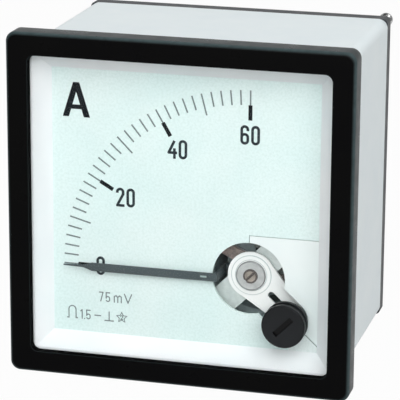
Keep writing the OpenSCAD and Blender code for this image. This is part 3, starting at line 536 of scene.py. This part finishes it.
@dataclass(frozen=True)
class MouldedPlastic(Finish):
    """Injection moulded plastic with a fine satin grain and slow drifts of tone.

    Edges marked above 0 take the paler edge colour, partly rubbing and partly painted
    sheen; sheltered ones gain up to the shelter in roughness.
    """

    colour: RGB
    drift: RGB
    roughness: Pair
    specular: float = 0.5
    grain_mm: float = 0.22
    grain_depth_mm: float = 0.004
    drift_mm: float = 14.0
    rub_and_sheen: RGB | None = None
    shelter: float = 0.6
    shades_or_tones: tuple[ShadeOrTone, ...] = ()

    def material(self) -> Material:
        """Builds the material.

        Returns:
            The material.
        """
        s = Shader(self.name, Specular_IOR_Level=self.specular)
        tone = s.tint(s.noise(self.drift_mm, 4.0), self.drift, self.colour)
        rough = s.spread(s.noise(3.0, 5.0), *self.roughness)
        # Paler edge colour: partly rubbing, partly painted sheen.
        if self.rub_and_sheen is not None:
            marks = s.node("ShaderNodeAttribute", attribute_name="wear_and_sheen_edge")
            edge = marks.outputs["Fac"]
            patchy = s.maths("MULTIPLY", edge, s.spread(s.noise(1.6, 5.0), 0.75, 1.0))
            tone = s.blend(patchy, tone, self.rub_and_sheen)
            sheltered = s.node("ShaderNodeMapRange", From_Min=0.0, From_Max=-1.0,
                               To_Min=0.0, To_Max=self.shelter)
            s.link(edge, sheltered.inputs["Value"])
            rough = s.maths("ADD", rough, sheltered.outputs[0])
        s.link(s.shaded(tone, self.shades_or_tones), s.tone)
        s.link(rough, s.rough)
        s.bump(s.noise(self.grain_mm, 2.0), self.grain_depth_mm)
        return s.material


@dataclass(frozen=True)
class DialPaint(Finish):
    """Matt dial enamel with the faint orange-peel and cloudiness of a sprayed sheet."""

    colour: RGB
    cloud: RGB
    shades_or_tones: tuple[ShadeOrTone, ...] = ()

    def material(self) -> Material:
        """Builds the material.

        Returns:
            The material.
        """
        s = Shader(self.name, Specular_IOR_Level=0.25)
        clouds = s.tint(s.noise(9.0, 6.0), self.cloud, self.colour, 0.3, 0.6)
        fleck = s.tint(s.noise(0.5, 3.0), (246, 248, 247), (255, 255, 255), 0.35, 0.6)
        mix = s.node("ShaderNodeMix", data_type="RGBA", blend_type="MULTIPLY", Factor=1.0)
        s.link(s.shaded(clouds, self.shades_or_tones), mix.inputs["A"])
        s.link(fleck, mix.inputs["B"])
        s.link(mix.outputs["Result"], s.tone)
        s.link(s.spread(s.noise(1.2, 3.0), 0.5, 0.66), s.rough)
        s.bump(s.noise(0.35, 2.0), 0.003)
        return s.material


@dataclass(frozen=True)
class Ink(Finish):
    """Screen-printed ink, a little uneven in density and slightly raised."""

    colour: RGB
    thin: RGB

    def material(self) -> Material:
        """Builds the material.

        Returns:
            The material.
        """
        s = Shader(self.name, Specular_IOR_Level=0.08)
        s.link(s.tint(s.noise(0.3, 4.0), self.thin, self.colour, 0.3, 0.6), s.tone)
        s.link(s.spread(s.noise(0.5, 2.0), 0.45, 0.65), s.rough)
        s.bump(s.noise(0.12, 2.0), 0.002)
        return s.material


class Grain(Enum):
    """Which way the tool marks on a metal run."""

    TURNED = "turned"
    ROLLED = "rolled"
    CAST = "cast"


@dataclass(frozen=True)
class Metal(Finish):
    """Bare or plated metal with tool marks and a little tarnish."""

    colour: RGB
    tarnish: RGB
    roughness: Pair
    grain: Grain = Grain.CAST
    pitch_mm: float = 0.12
    centre: Pair = (0.0, 0.0)
    metallic: float = 1.0
    shades_or_tones: tuple[ShadeOrTone, ...] = ()

    def material(self) -> Material:
        """Builds the material.

        Returns:
            The material.
        """
        s = Shader(self.name, Metallic=self.metallic)
        tone = s.tint(s.noise(1.4, 5.0), self.tarnish, self.colour)
        s.link(s.shaded(tone, self.shades_or_tones), s.tone)
        s.link(s.spread(s.noise(0.7, 4.0), *self.roughness), s.rough)
        if self.grain is Grain.TURNED:
            s.bump(s.rings(self.centre, self.pitch_mm), 0.004)
        elif self.grain is Grain.ROLLED:
            s.bump(s.noise(self.pitch_mm, 2.0, (1.0, 1.0, 12.0)), 0.004)
        else:
            s.bump(s.noise(self.pitch_mm, 3.0), 0.006)
        return s.material


@dataclass(frozen=True)
class ClearPane(Finish):
    """Clear moulded pane that lets the light on what lies behind pass untouched."""

    roughness: float = 0.02
    ior: float = 1.1

    def material(self) -> Material:
        """Builds the material.

        Returns:
            The material.
        """
        s = Shader(self.name, Transmission_Weight=1.0, IOR=self.ior,
                   Roughness=self.roughness)
        s.link(s.tint(s.noise(20.0, 2.0), (250, 255, 255), (255, 255, 255)), s.tone)
        s.bump(s.noise(18.0, 1.0), 0.002)
        path = s.node("ShaderNodeLightPath").outputs
        passing = s.maths("MAXIMUM", path["Is Shadow Ray"], path["Is Diffuse Ray"])
        s.cover(passing, s.node("ShaderNodeBsdfTransparent"))
        return s.material


@dataclass(frozen=True)
class Jewel(Finish):
    """Ruby-red bearing jewel."""

    colour: RGB

    def material(self) -> Material:
        """Builds the material.

        Returns:
            The material.
        """
        s = Shader(self.name, Transmission_Weight=0.6, IOR=1.76)
        s.link(s.tint(s.noise(0.4, 3.0), self.colour, (230, 60, 90)), s.tone)
        s.link(s.spread(s.noise(0.2, 2.0), 0.05, 0.12), s.rough)
        return s.material


@dataclass(frozen=True)
class WoundWire(Finish):
    """Enamelled copper wire: glossy, with a darker tone in random patches."""

    colour: RGB
    gap: RGB

    def material(self) -> Material:
        """Builds the material.

        Returns:
            The material.
        """
        s = Shader(self.name, Coat_Weight=0.6, Coat_Roughness=0.18, Metallic=0.1)
        s.link(s.tint(s.noise(0.5, 5.0), self.gap, self.colour, 0.3, 0.6), s.tone)
        s.link(s.spread(s.noise(0.3, 3.0), 0.3, 0.45), s.rough)
        s.bump(s.noise(0.1, 2.0), 0.005)
        return s.material


class Body(Enum):
    """The groups of the meter that new pieces move with."""

    HOUSING = "housing"
    COIL = "coil"


# Places and radii on the movement's front for the painted shade and dial corner below.
PIVOT = axis_of("bridge_nut")
ADJUSTER_AXIS = axis_of("adjuster_ring")
ADJUSTER_FRONT = float(box_mm("zero_adjuster")[0][1])
SLOT_REACH = 2.6
SCREW_FRONT = float(box_mm("front_jewel_screw")[0][1])
SCREW_R = radius_of("front_jewel_screw")
SCREW_RIM = 0.38
SCREW_SLOT_END = 0.1
NUT_R = radius_of("bridge_nut")
NUT_RIM = 0.22
LEVER_RIDGES = (3.27, 4.16)
RIDGE_HALF = 0.09
SKIN = 0.05  # A gap or overlap too small to see.

# The bezel's paler edge colour is partly rubbing and partly painted sheen on its sides and
# bevels.
BLACK = MouldedPlastic("black_bezel_moulding", (6, 6, 6), (4, 4, 5), (0.26, 0.36),
                       specular=0.04, grain_mm=0.2, grain_depth_mm=0.003,
                       rub_and_sheen=(72, 86, 88))
# The adjuster's near-black slot tone is painted shade in the recess.
ADJUSTER_BLACK = MouldedPlastic(
    "black_adjuster_moulding", (32, 34, 36), (26, 28, 30), (0.38, 0.5), specular=0.15,
    grain_mm=0.16, shades_or_tones=(
        ShadeOrTone(ADJUSTER_AXIS, (5, 5, 6), SLOT_REACH, deeper_mm=ADJUSTER_FRONT + SKIN),))
CASE_WHITE = MouldedPlastic("grey_white_case", (229, 239, 241), (225, 236, 239),
                            (0.3, 0.4), grain_mm=0.6, grain_depth_mm=0.0012)
FRAME_WHITE = MouldedPlastic("white_inner_frame", (244, 247, 248), (240, 244, 246),
                             (0.45, 0.6), specular=0.3, grain_mm=0.25)
PLATE_WHITE = MouldedPlastic("white_corner_plate", (242, 250, 249), (239, 248, 247),
                             (0.45, 0.58), specular=0.3, grain_mm=0.25)
# The darker rings on both sides of each lever ridge are painted shade.
LEVER_WHITE = MouldedPlastic(
    "white_lever", (253, 255, 254), (248, 252, 250), (0.4, 0.55), specular=0.35,
    grain_mm=0.2, shades_or_tones=tuple(
        ShadeOrTone(PIVOT, (206, 216, 215), r + RIDGE_HALF, r - RIDGE_HALF)
        for r in LEVER_RIDGES))
COVER_DARK = MouldedPlastic("dark_rear_cover", (52, 56, 60), (46, 50, 54), (0.5, 0.64),
                            grain_mm=0.35, grain_depth_mm=0.012)
BASE_CREAM = MouldedPlastic("cream_movement_base", (226, 224, 214), (218, 216, 204),
                            (0.42, 0.55))
RESISTOR = MouldedPlastic("lacquered_resistor", (196, 176, 136), (180, 158, 118),
                          (0.3, 0.42))
WIRE_RED = MouldedPlastic("red_wire_sleeve", (168, 40, 34), (150, 32, 28), (0.4, 0.5))
DIAL = DialPaint(
    "dial_enamel", (234, 251, 249), (230, 248, 246), shades_or_tones=(
        ShadeOrTone(ADJUSTER_AXIS, (242, 250, 249), right_of_mm=ADJUSTER_AXIS[0],
              below_mm=ADJUSTER_AXIS[1]),))
INK_BLACK = Ink("black_dial_ink", (20, 25, 28), (28, 33, 36))
INK_BOLD = Ink("bold_dial_ink", (46, 54, 58), (54, 63, 67))
INK_FINE = Ink("fine_dial_ink", (118, 130, 131), (134, 145, 146))
MARK_WHITE = Ink("white_cover_ink", (224, 228, 228), (206, 210, 210))
NICKEL = Metal("bright_nickel", (205, 206, 206), (180, 180, 180), (0.2, 0.34))
BRASS = Metal("machined_brass", (214, 186, 120), (188, 156, 96), (0.24, 0.38))
BRONZE_STRIP = Metal("spring_bronze", (206, 164, 106), (170, 128, 82), (0.25, 0.35),
                     Grain.ROLLED)
BRIDGE_SHEET = Metal("stamped_bridge", (222, 230, 228), (208, 217, 215), (0.38, 0.5),
                     Grain.ROLLED, pitch_mm=0.2, metallic=0.35)
# The nut's darker outer rim is painted shade.
NUT_STEEL = Metal("turned_ring_nut", (186, 188, 187), (168, 170, 170), (0.34, 0.46),
                  Grain.TURNED, pitch_mm=0.16, centre=PIVOT, metallic=0.7,
                  shades_or_tones=(ShadeOrTone(PIVOT, (150, 152, 152), beyond_mm=NUT_R - NUT_RIM),))
# The screw's darker rim and its dark slot are painted shade.
BEARING_SCREW = Metal(
    "bronze_bearing_screw", (156, 148, 140), (132, 124, 116), (0.3, 0.45), Grain.TURNED,
    pitch_mm=0.14, centre=PIVOT, shades_or_tones=(
        ShadeOrTone(PIVOT, (92, 87, 85), beyond_mm=SCREW_R - SCREW_RIM),
        ShadeOrTone(PIVOT, (92, 86, 83), SCREW_R - SCREW_SLOT_END,
              deeper_mm=SCREW_FRONT + SKIN)))
SOFT_IRON = Metal("plated_soft_iron", (210, 228, 230), (190, 208, 210), (0.45, 0.6),
                  metallic=0.0)
MAGNET = Metal("ground_magnet", (206, 220, 222), (186, 200, 202), (0.4, 0.55),
               Grain.TURNED, centre=PIVOT, metallic=0.1)
DULL_BRASS = Metal("aged_brass", (176, 182, 178), (152, 158, 154), (0.45, 0.6),
                   metallic=0.1)
ALUMINIUM = Metal("former_sheet", (205, 208, 210), (188, 190, 192), (0.3, 0.42),
                  Grain.ROLLED)
POINTER_PAINT = MouldedPlastic("pointer_enamel", (74, 84, 87), (68, 78, 80), (0.45, 0.58),
                               specular=0.3, grain_mm=0.12)
COPPER = WoundWire("enamelled_copper", (226, 208, 200), (182, 166, 160))
PANE = ClearPane("clear_window_pane")
RUBY = Jewel("bearing_ruby", (150, 16, 44))

CARRIED: dict[Finish, str] = {
    PANE: "window", CASE_WHITE: "case", COVER_DARK: "rear_cover", DIAL: "dial_plate",
    PLATE_WHITE: "corner_plate", INK_FINE: "scale_marks dial_symbols",
    INK_BLACK: "scale_bars unit_mark", INK_BOLD: "scale_numbers",
    ADJUSTER_BLACK: "zero_adjuster adjuster_ring", LEVER_WHITE: "zero_lever",
    BRIDGE_SHEET: "front_bridge", NUT_STEEL: "bridge_nut spindles",
    BEARING_SCREW: "front_jewel_screw rear_jewel_screw", RUBY: "jewels",
    SOFT_IRON: "iron_yoke", MAGNET: "core_magnet", ALUMINIUM: "coil_former",
    NICKEL: "cover_screws core_screws terminal_tags", BASE_CREAM: "movement_base",
    BRASS: "lever_washer bridge_screws movement_pillars movement_screws spring_anchor "
           "spring_collets",
    DULL_BRASS: "bridge_pillars core_spacers balance_weights",
    BRONZE_STRIP: "front_hairspring rear_hairspring",
    POINTER_PAINT: "pointer balance_cross", RESISTOR: "series_resistor",
    WIRE_RED: "lead_wires", MARK_WHITE: "polarity_marks",
}


@dataclass
class Dresser:
    """Gives pieces their finish and makes each material once."""

    made: dict[str, Material] = field(default_factory=dict)

    def finish(self, obj: Object, finish: Finish) -> None:
        """Puts a finish on an object.

        Args:
            obj: The piece to dress.
            finish: One of the finishes above.
        """
        if finish.name not in self.made:
            self.made[finish.name] = finish.material()
        obj.data.materials.clear()
        obj.data.materials.append(self.made[finish.name])

    def piece(self, obj: Object, finish: Finish, body: Body,
              node: str) -> None:
        """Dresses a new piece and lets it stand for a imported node.

        Args:
            obj: The new piece.
            finish: Its finish.
            body: The group that it moves with.
            node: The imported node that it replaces.
        """
        self.finish(obj, finish)
        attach(obj, body.value)
        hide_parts(node)
        LOG.info("%s stands for %s, %d faces", obj.name, node, len(obj.data.polygons))


# ---- Sub-assemblies ----


@dataclass
class FrontHousing:
    """Black bezel and the white frame that slopes in to the dial.

    The sections' corners run from the outside inwards. The edge values have one number for
    each point of each rounding: above 0 is paler, partly rubbed and partly painted sheen
    where light catches the bezel's sides and bevels; below 0 is sheltered and dull.
    """

    bevel: float = 0.55
    opening_half: float = 31.35
    opening_corner: float = 1.6
    bezel_corner: float = 2.0
    lip_depth: float = 1.8
    pocket_half: float = 33.15
    pocket_corner: float = 2.0
    bezel_cuts: Row = (0.15, 0.36, 0.36, 0.15, 0.05, 0.05, 0.05)
    # Above 0: paler, partly rubbing and partly painted sheen; below 0: sheltered.
    bezel_wear_and_sheen: tuple[Row, ...] = (
        (0.3,) * 7, (0.4, 0.7, 1.0, 1.0, 1.0, 0.9, 0.8),
        (0.7, 0.5, 0.3, 0.15, 0.0, 0.0, 0.0), (0.0, 0.2, 0.3, 0.1, 0.0, -0.5, -1.0),
        (-1.0,) * 7, (0.0,) * 7, (0.0,) * 7)
    view_half: float = 28.0
    crease: float = 0.03
    wall: float = 0.85
    flange_t: float = 0.8
    flange_corner: float = 0.6
    frame_cuts: Row = (0.15, 0.12, 0.1, 0.0, 0.0, 0.05, 0.05)

    def bezel(self) -> Object:
        """Sweeps the bezel's section round the rounded square.

        Returns:
            The bezel, closed all round.
        """
        low, high = box_mm("bezel")
        half, front, back = high[0], low[1], high[1]
        lip = front + self.lip_depth
        r, o, p = self.bezel_corner, self.opening_corner, self.pocket_corner
        corners = np.array([
            [half, back, r], [half, front + self.bevel, r],
            [half - self.bevel, front, r - self.bevel / 2],
            [self.opening_half, front, o], [self.opening_half, lip, o],
            [self.pocket_half, lip, p], [self.pocket_half, back, p]])
        wear_and_sheen = np.array(self.bezel_wear_and_sheen)
        section = soften(corners, self.bezel_cuts, wear_and_sheen.shape[1])
        return swept(section, 12, wear_and_sheen.ravel()).build("bezel_frame", 60)

    def inner_frame(self) -> Object:
        """Sweeps the sloping white frame's section round the square.

        Returns:
            The frame, closed all round.
        """
        low, high = box_mm("inner_frame")
        half, front, back = high[0], low[1], high[1]
        shelf = front + self.flange_t
        c, f, p = self.crease, self.flange_corner, self.pocket_corner
        corners = np.array([
            [self.opening_half, front, c], [self.view_half, back, c],
            [self.view_half + self.wall, back, c + self.wall],
            [self.opening_half, shelf - SKIN, f], [self.opening_half, shelf, f],
            [half, shelf, p], [half, front, p]])
        section = soften(corners, self.frame_cuts, 4)
        return swept(section, 1).build("sloping_frame", 25)

    def dress(self, dresser: Dresser) -> None:
        """Builds and dresses the front housing."""
        dresser.piece(self.bezel(), BLACK, Body.HOUSING, "bezel")
        dresser.piece(self.inner_frame(), FRAME_WHITE, Body.HOUSING,
                      "inner_frame")


@dataclass
class MovingCoil:
    """The copper winding on the moving coil, with the turns showing."""

    half_length: float = 9.1
    wall: float = 1.0
    width: float = 2.6
    turns_across: int = 9
    layers: int = 4
    steps_per_turn: int = 6
    groove: float = 0.07
    rest_angle_deg: float = 155.0
    outer_corner: float = 0.9
    corner_share: float = 0.7
    least_corner: float = 0.15

    def scallop(self, turns: int) -> tuple[Array, Array]:
        """Walks along one side of the section, from 0 to 1, over the backs of its turns.

        The depth is the groove times one minus |sin| of the turns passed, so a wire's
        round back shows between two grooves.

        Args:
            turns: Wires along the side.

        Returns:
            The places along the side, and the depth at each.
        """
        along = np.linspace(0.0, 1.0, turns * self.steps_per_turn, endpoint=False)
        return along, self.groove * (1 - np.abs(np.sin(math.pi * turns * along)))

    def winding(self) -> Object:
        """Carries the scalloped section round the coil's rectangle.

        The section runs over the outer face, one side, the inner face and the other
        side. The loops are then turned to the coil's rest angle about +Y.

        Returns:
            The winding.
        """
        low, high = box_mm("coil_winding")
        middle = (low + high) / 2
        half_y = (high[1] - low[1]) / 2
        w = self.width
        face, back_of = self.scallop(self.turns_across)
        side, side_of = self.scallop(self.layers)
        inset = np.concatenate([back_of, side * self.wall, self.wall - back_of,
                                (1 - side) * self.wall])
        place = np.concatenate([-w / 2 + face * w, w / 2 - side_of, w / 2 - face * w,
                                -w / 2 + side_of])
        radius = np.maximum(self.outer_corner - inset * self.corner_share,
                            self.least_corner)
        grid = rounded_loops(self.half_length - inset, half_y - inset, radius, place, 6)
        turn = math.radians(self.rest_angle_deg)
        axes = np.array([[math.cos(turn), 0.0, math.sin(turn)], [0.0, 1.0, 0.0],
                         [-math.sin(turn), 0.0, math.cos(turn)]])
        return Shape().add(grid @ axes + middle, wrap=True).build("coil_turns", 70)

    def dress(self, dresser: Dresser) -> None:
        """Builds and dresses the winding."""
        dresser.piece(self.winding(), COPPER, Body.COIL, "coil_winding")


class StudEnd(Enum):
    """How the free end of a stud is finished; the value is how long that end is."""

    DOMED = 1.0
    BEVELLED = 0.45


@dataclass
class Stud:
    """A stud along +Y with a real helical thread on its free length."""

    centre: Pair
    body: Array
    thread_start: float
    tip: float
    radius: float
    pitch: float
    end: StudEnd
    steps: int = 40
    rows_per_pitch: int = 8
    depth_share: float = 0.52
    flank: float = 1.25
    crest_flat: float = 0.12
    bevel: float = 0.42

    def grid(self) -> Array:
        """Works out the stud's loops.

        On the thread the radius is r minus the depth times how far the point is from the
        crest, where the crest climbs one pitch for each turn; the depth fades in over one
        pitch at both ends of the thread.

        Returns:
            Array of loops by points by three coordinates.
        """
        rise = self.end.value
        last = self.tip - rise
        rows = int((last - self.thread_start) / self.pitch * self.rows_per_pitch)
        y = np.linspace(self.thread_start, last, rows)[:, None]
        angle = np.arange(self.steps)[None, :] * 2 * math.pi / self.steps
        phase = np.mod(y / self.pitch - angle / (2 * math.pi), 1.0)
        ends = np.minimum(y - self.thread_start, last - y) / self.pitch
        depth = self.depth_share * self.pitch * np.clip(ends, 0.0, 1.0)
        off_crest = np.abs(2 * phase - 1) * self.flank - self.crest_flat
        r = self.radius - depth * np.clip(off_crest, 0.0, 1.0)
        thread = np.stack([r * np.cos(angle), y + 0 * angle, r * np.sin(angle)], -1)
        if self.end is StudEnd.DOMED:
            turn = np.linspace(0.0, math.pi / 2, 8)[1:]
            cap = np.stack([self.radius * np.cos(turn), last + rise * np.sin(turn)], -1)
        else:
            cap = np.array([[self.radius - self.bevel, self.tip], [0.0, self.tip]])
        grid = np.concatenate([turned(self.body, (0.0, 0.0), self.steps), thread,
                               turned(cap, (0.0, 0.0), self.steps)])
        return grid + np.array([self.centre[0], 0.0, self.centre[1]])


def hexagon_block(centre: Pair, flats: float, y0: float, y1: float,
                  hole: float = 0.0) -> Array:
    """Makes a hexagon nut or head along +Y whose corners are turned off on both faces.

    Each loop's reach is the hexagon's: half the width across flats divided by the cosine
    of the angle to the nearest flat's middle. On the two chamfers the depth drops by the
    tangent of 30 degrees times how far the reach passes the chamfer's circle.

    Args:
        centre: Place of the axis in X and Z.
        flats: Width across flats.
        y0: Front face.
        y1: Rear face.
        hole: Radius of the hole, or 0 for a solid head.

    Returns:
        Array of loops by points by three coordinates.
    """
    steps, ring_share = 72, 0.96
    inset = 0.25 if hole else 0.0
    angle = np.arange(steps) * 2 * math.pi / steps
    side = flats / 2 / np.cos(np.mod(angle, math.pi / 3) - math.pi / 6)
    flat = np.zeros(steps)
    ring = flat + flats / 2 * ring_share
    fall = (side - ring) * math.tan(math.radians(30))
    r = np.stack([flat + hole, flat + hole + inset, ring, side, side, ring,
                  flat + hole + inset, flat + hole])
    y = np.stack([flat + y0 + inset, flat + y0, flat + y0, y0 + fall, y1 - fall,
                  flat + y1, flat + y1, flat + y1 - inset])
    return np.stack([centre[0] + r * np.cos(angle), y, centre[1] + r * np.sin(angle)], -1)


@dataclass
class RearFittings:
    """Terminal studs with their nuts and washers, and the two fixing studs."""

    terminal_r: float = 2.0
    terminal_pitch: float = 0.7
    fixing_r: float = 1.5
    fixing_pitch: float = 0.5
    shank_r: float = 1.65
    insert_r: float = 1.9
    nut_flats: float = 7.0
    nut_t: float = 2.4
    washer_t: float = 0.8
    washer_r: float = 4.3
    washer_cuts: Row = (0.08, 0.22, 0.22, 0.08)
    head_t: float = 2.2

    def pair(self, node: str, reach: float) -> list[Pair]:
        """Places of the two axes in a node, at its left and right end.

        Args:
            node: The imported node.
            reach: Distance from the node's edge to an axis.

        Returns:
            The two places in X and Z, both at the node's middle height.
        """
        low, high = box_mm(node)
        middle_z = (low[2] + high[2]) / 2
        return [(low[0] + reach, middle_z), (high[0] - reach, middle_z)]

    def hexagon_corner(self) -> float:
        """Distance from a nut's axis to its corners."""
        return self.nut_flats / 2 / math.cos(math.radians(30))

    def nut_fronts(self) -> list[float]:
        """Front faces of the two nuts on a terminal."""
        front = box_mm("terminal_nuts")[0][1]
        return [front, front + self.nut_t + self.washer_t]

    def terminals(self) -> Object:
        """Builds both terminal studs with their heads.

        Returns:
            The studs, as one piece.
        """
        low, high = box_mm("terminal_studs")
        head_back = low[1] + self.head_t
        stack_back = self.nut_fronts()[-1] + self.nut_t
        shank, r = self.shank_r, self.terminal_r
        body = np.array([[0.0, head_back - SKIN], [shank, head_back - SKIN],
                         [shank, stack_back], [r, stack_back + 0.02]])
        shape = Shape()
        for centre in self.pair("terminal_studs", self.hexagon_corner()):
            stud = Stud(centre, body, stack_back + SKIN, high[1], r, self.terminal_pitch,
                        StudEnd.BEVELLED)
            shape.add(stud.grid(), wrap=False)
            shape.add(hexagon_block(centre, self.nut_flats, low[1], head_back),
                      wrap=False)
        return shape.build("threaded_terminals", 40)

    def nuts(self) -> Object:
        """Builds the four chamfered nuts.

        Returns:
            The nuts, as one piece.
        """
        shape = Shape()
        for centre in self.pair("terminal_nuts", self.hexagon_corner()):
            for y in self.nut_fronts():
                shape.add(hexagon_block(centre, self.nut_flats, y, y + self.nut_t,
                                        self.shank_r), wrap=True)
        return shape.build("chamfered_nuts", 25)

    def washers(self) -> Object:
        """Builds the four washers with rounded rims.

        Returns:
            The washers, as one piece.
        """
        first = box_mm("terminal_washers")[0][1]
        r0, r1, t = self.shank_r, self.washer_r, self.washer_t
        shape = Shape()
        for centre in self.pair("terminal_washers", self.washer_r):
            for y in (first, first + self.nut_t + t):
                corners = np.array([[r0, y], [r1, y], [r1, y + t], [r0, y + t]])
                section = soften(corners, self.washer_cuts, 5)
                shape.add(turned(section, centre), wrap=True)
        return shape.build("round_washers", 50)

    def fixings(self) -> Object:
        """Builds the two fixing studs, in opposite corners, with domed ends.

        Returns:
            The studs, as one piece.
        """
        low, high = box_mm("fixing_studs")
        cover = box_mm("rear_cover")[1][1]
        insert, r = self.insert_r, self.fixing_r
        body = np.array([[0.0, low[1]], [insert, low[1]], [insert, cover], [r, cover],
                         [r, cover + SKIN]])
        shape = Shape()
        for corner in (low[[0, 2]] + insert, high[[0, 2]] - insert):
            stud = Stud(tuple(corner), body, cover + 2 * SKIN, high[1], r,
                        self.fixing_pitch, StudEnd.DOMED)
            shape.add(stud.grid(), wrap=False)
        return shape.build("threaded_fixings", 40)

    def dress(self, dresser: Dresser) -> None:
        """Builds and dresses the rear fittings.

        Args:
            dresser: Where finishes come from.
        """
        for obj, finish, slot, node in (
                (self.terminals(), BRASS, "brass", "terminal_studs"),
                (self.nuts(), BRASS, "brass", "terminal_nuts"),
                (self.washers(), BRASS, "brass", "terminal_washers"),
                (self.fixings(), NICKEL, "nickel", "fixing_studs")):
            dresser.piece(obj, finish, Body.HOUSING, node)


@dataclass
class CarriedNodes:
    """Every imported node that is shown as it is, with its finish."""

    nodes: dict[Finish, str] = field(default_factory=lambda: CARRIED)

    def dress(self, dresser: Dresser) -> None:
        """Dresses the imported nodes.

        Args:
            dresser: Where finishes come from.
        """
        for finish, names in self.nodes.items():
            for node in names.split():
                dresser.finish(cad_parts[node], finish)
                LOG.info("%s keeps its solid, finished in %s", node, finish.name)


# ---- Studio ----


def direction(azimuth_deg: float, elevation_deg: float) -> Array:
    """Gives the unit vector towards an azimuth, from -Y round to +X, and an elevation."""
    a, e = math.radians(azimuth_deg), math.radians(elevation_deg)
    return np.array([math.sin(a) * math.cos(e), -math.cos(a) * math.cos(e), math.sin(e)])


@dataclass
class Softbox:
    """A large square lamp that looks at the origin, the middle of the meter's front."""

    name: str
    azimuth_deg: float
    elevation_deg: float
    distance_m: float
    size_m: float
    level: float

    def light(self) -> None:
        """Adds the lamp.

        The power is the level times pi squared times the distance squared, which lights
        a white surface that faces the lamp to that level.
        """
        lamp = bpy.data.lights.new(self.name, "AREA")
        lamp.shape, lamp.size = "SQUARE", self.size_m
        lamp.energy = self.level * math.pi**2 * self.distance_m**2
        obj = placed(self.name, lamp)
        out = direction(self.azimuth_deg, self.elevation_deg)
        obj.location = out * self.distance_m
        obj.rotation_mode = "QUATERNION"
        obj.rotation_quaternion = Vector(out).to_track_quat("Z", "Y")


@dataclass
class Studio:
    """Pale floor, soft light and a white surround that lights only from behind."""

    back_level: float = 0.93
    back_starts: float = -0.35
    back_full: float = 0.75
    floor_half_m: float = 3.0
    floor_colour: RGB = (176, 176, 176)
    floor_glow: float = 0.97
    lamps: tuple[Softbox, ...] = (
        Softbox("key_softbox", 25.0, 37.0, 0.8, 0.85, 1.14),
        Softbox("front_softbox", -5.0, 20.0, 0.8, 0.55, 0.22),
    )

    def surround(self) -> None:
        """Makes the world: white where looked at, graded along Y where it lights."""
        world = bpy.data.worlds.new("studio_surround")
        bpy.context.scene.world = world
        world.use_nodes = True
        sky = Nodes(world.node_tree)
        axis = sky.node("ShaderNodeSeparateXYZ")
        sky.link(sky.node("ShaderNodeTexCoord").outputs["Generated"], axis.inputs[0])
        back = sky.node("ShaderNodeMapRange", interpolation_type="SMOOTHSTEP",
                        From_Min=self.back_starts, From_Max=self.back_full, To_Min=0.0,
                        To_Max=self.back_level)
        sky.link(axis.outputs["Y"], back.inputs["Value"])
        path = sky.node("ShaderNodeLightPath").outputs
        seen = sky.maths("MAXIMUM", path["Is Camera Ray"], path["Is Transmission Ray"])
        background = world.node_tree.nodes["Background"]
        background.inputs["Color"].default_value = linear((255, 255, 255))
        sky.link(sky.maths("MAXIMUM", back.outputs[0], seen),
                 background.inputs["Strength"])

    def floor(self) -> None:
        """Lays the floor: it glows near white where looked at and keeps some shadow."""
        z, h = float(CAD_BOX[0].z), self.floor_half_m
        mesh = bpy.data.meshes.new("studio_floor")
        mesh.from_pydata([(-h, -h, z), (h, -h, z), (h, h, z), (-h, h, z)], [],
                         [(0, 1, 2, 3)])
        obj = placed("studio_floor", mesh)
        s = Shader("pale_floor", Base_Color=linear(self.floor_colour), Roughness=0.9,
                   Specular_IOR_Level=0.1)
        path = s.node("ShaderNodeLightPath").outputs
        seen = s.maths("MAXIMUM", path["Is Camera Ray"], path["Is Glossy Ray"])
        seen = s.maths("MAXIMUM", seen, path["Is Transmission Ray"])
        s.cover(s.maths("MULTIPLY", seen, self.floor_glow),
                s.node("ShaderNodeEmission", Strength=1.0))
        mesh.materials.append(s.material)

    def build(self) -> None:
        """Builds the surround, the floor and the lamps."""
        self.surround()
        self.floor()
        for lamp in self.lamps:
            lamp.light()


@dataclass
class Viewpoint:
    """The camera: where it stands round the meter and how long its lens is.

    The distance and the slides, across and up the view, are in millimetres.
    """

    azimuth_deg: float = 14.9963
    elevation_deg: float = 16.0584
    roll_deg: float = 0.3528
    distance: float = 488.657
    slide_right: float = -3.3694
    slide_up: float = -2.2432
    lens: float = 216.81
    sensor: float = 36.0

    def build(self) -> None:
        """Adds the camera and makes it the scene's."""
        azimuth, roll = math.radians(self.azimuth_deg), math.radians(self.roll_deg)
        back = direction(self.azimuth_deg, self.elevation_deg)
        side = np.array([math.cos(azimuth), math.sin(azimuth), 0.0])
        rise = np.cross(back, side)
        right = math.cos(roll) * side + math.sin(roll) * rise
        up = -math.sin(roll) * side + math.cos(roll) * rise
        place = back * self.distance - right * self.slide_right - up * self.slide_up
        lens = bpy.data.cameras.new("viewpoint")
        lens.lens, lens.sensor_width = self.lens, self.sensor
        lens.clip_start, lens.clip_end = 0.02, 20.0
        obj = placed("viewpoint", lens)
        turn = Matrix(np.stack([right, up, back], 1).tolist())
        obj.matrix_world = Matrix.Translation(Vector(place * MM)) @ turn.to_4x4()
        bpy.context.scene.camera = obj


def main() -> None:
    """Builds the meter's pieces in order, then the studio and the camera."""
    logging.basicConfig(level=logging.INFO, format="%(name)s: %(message)s")
    dresser = Dresser()
    FrontHousing().dress(dresser)
    MovingCoil().dress(dresser)
    RearFittings().dress(dresser)
    CarriedNodes().dress(dresser)
    Studio().build()
    Viewpoint().build()
    bpy.context.scene.view_settings.view_transform = "Standard"


if __name__ == "__main__":
    main()
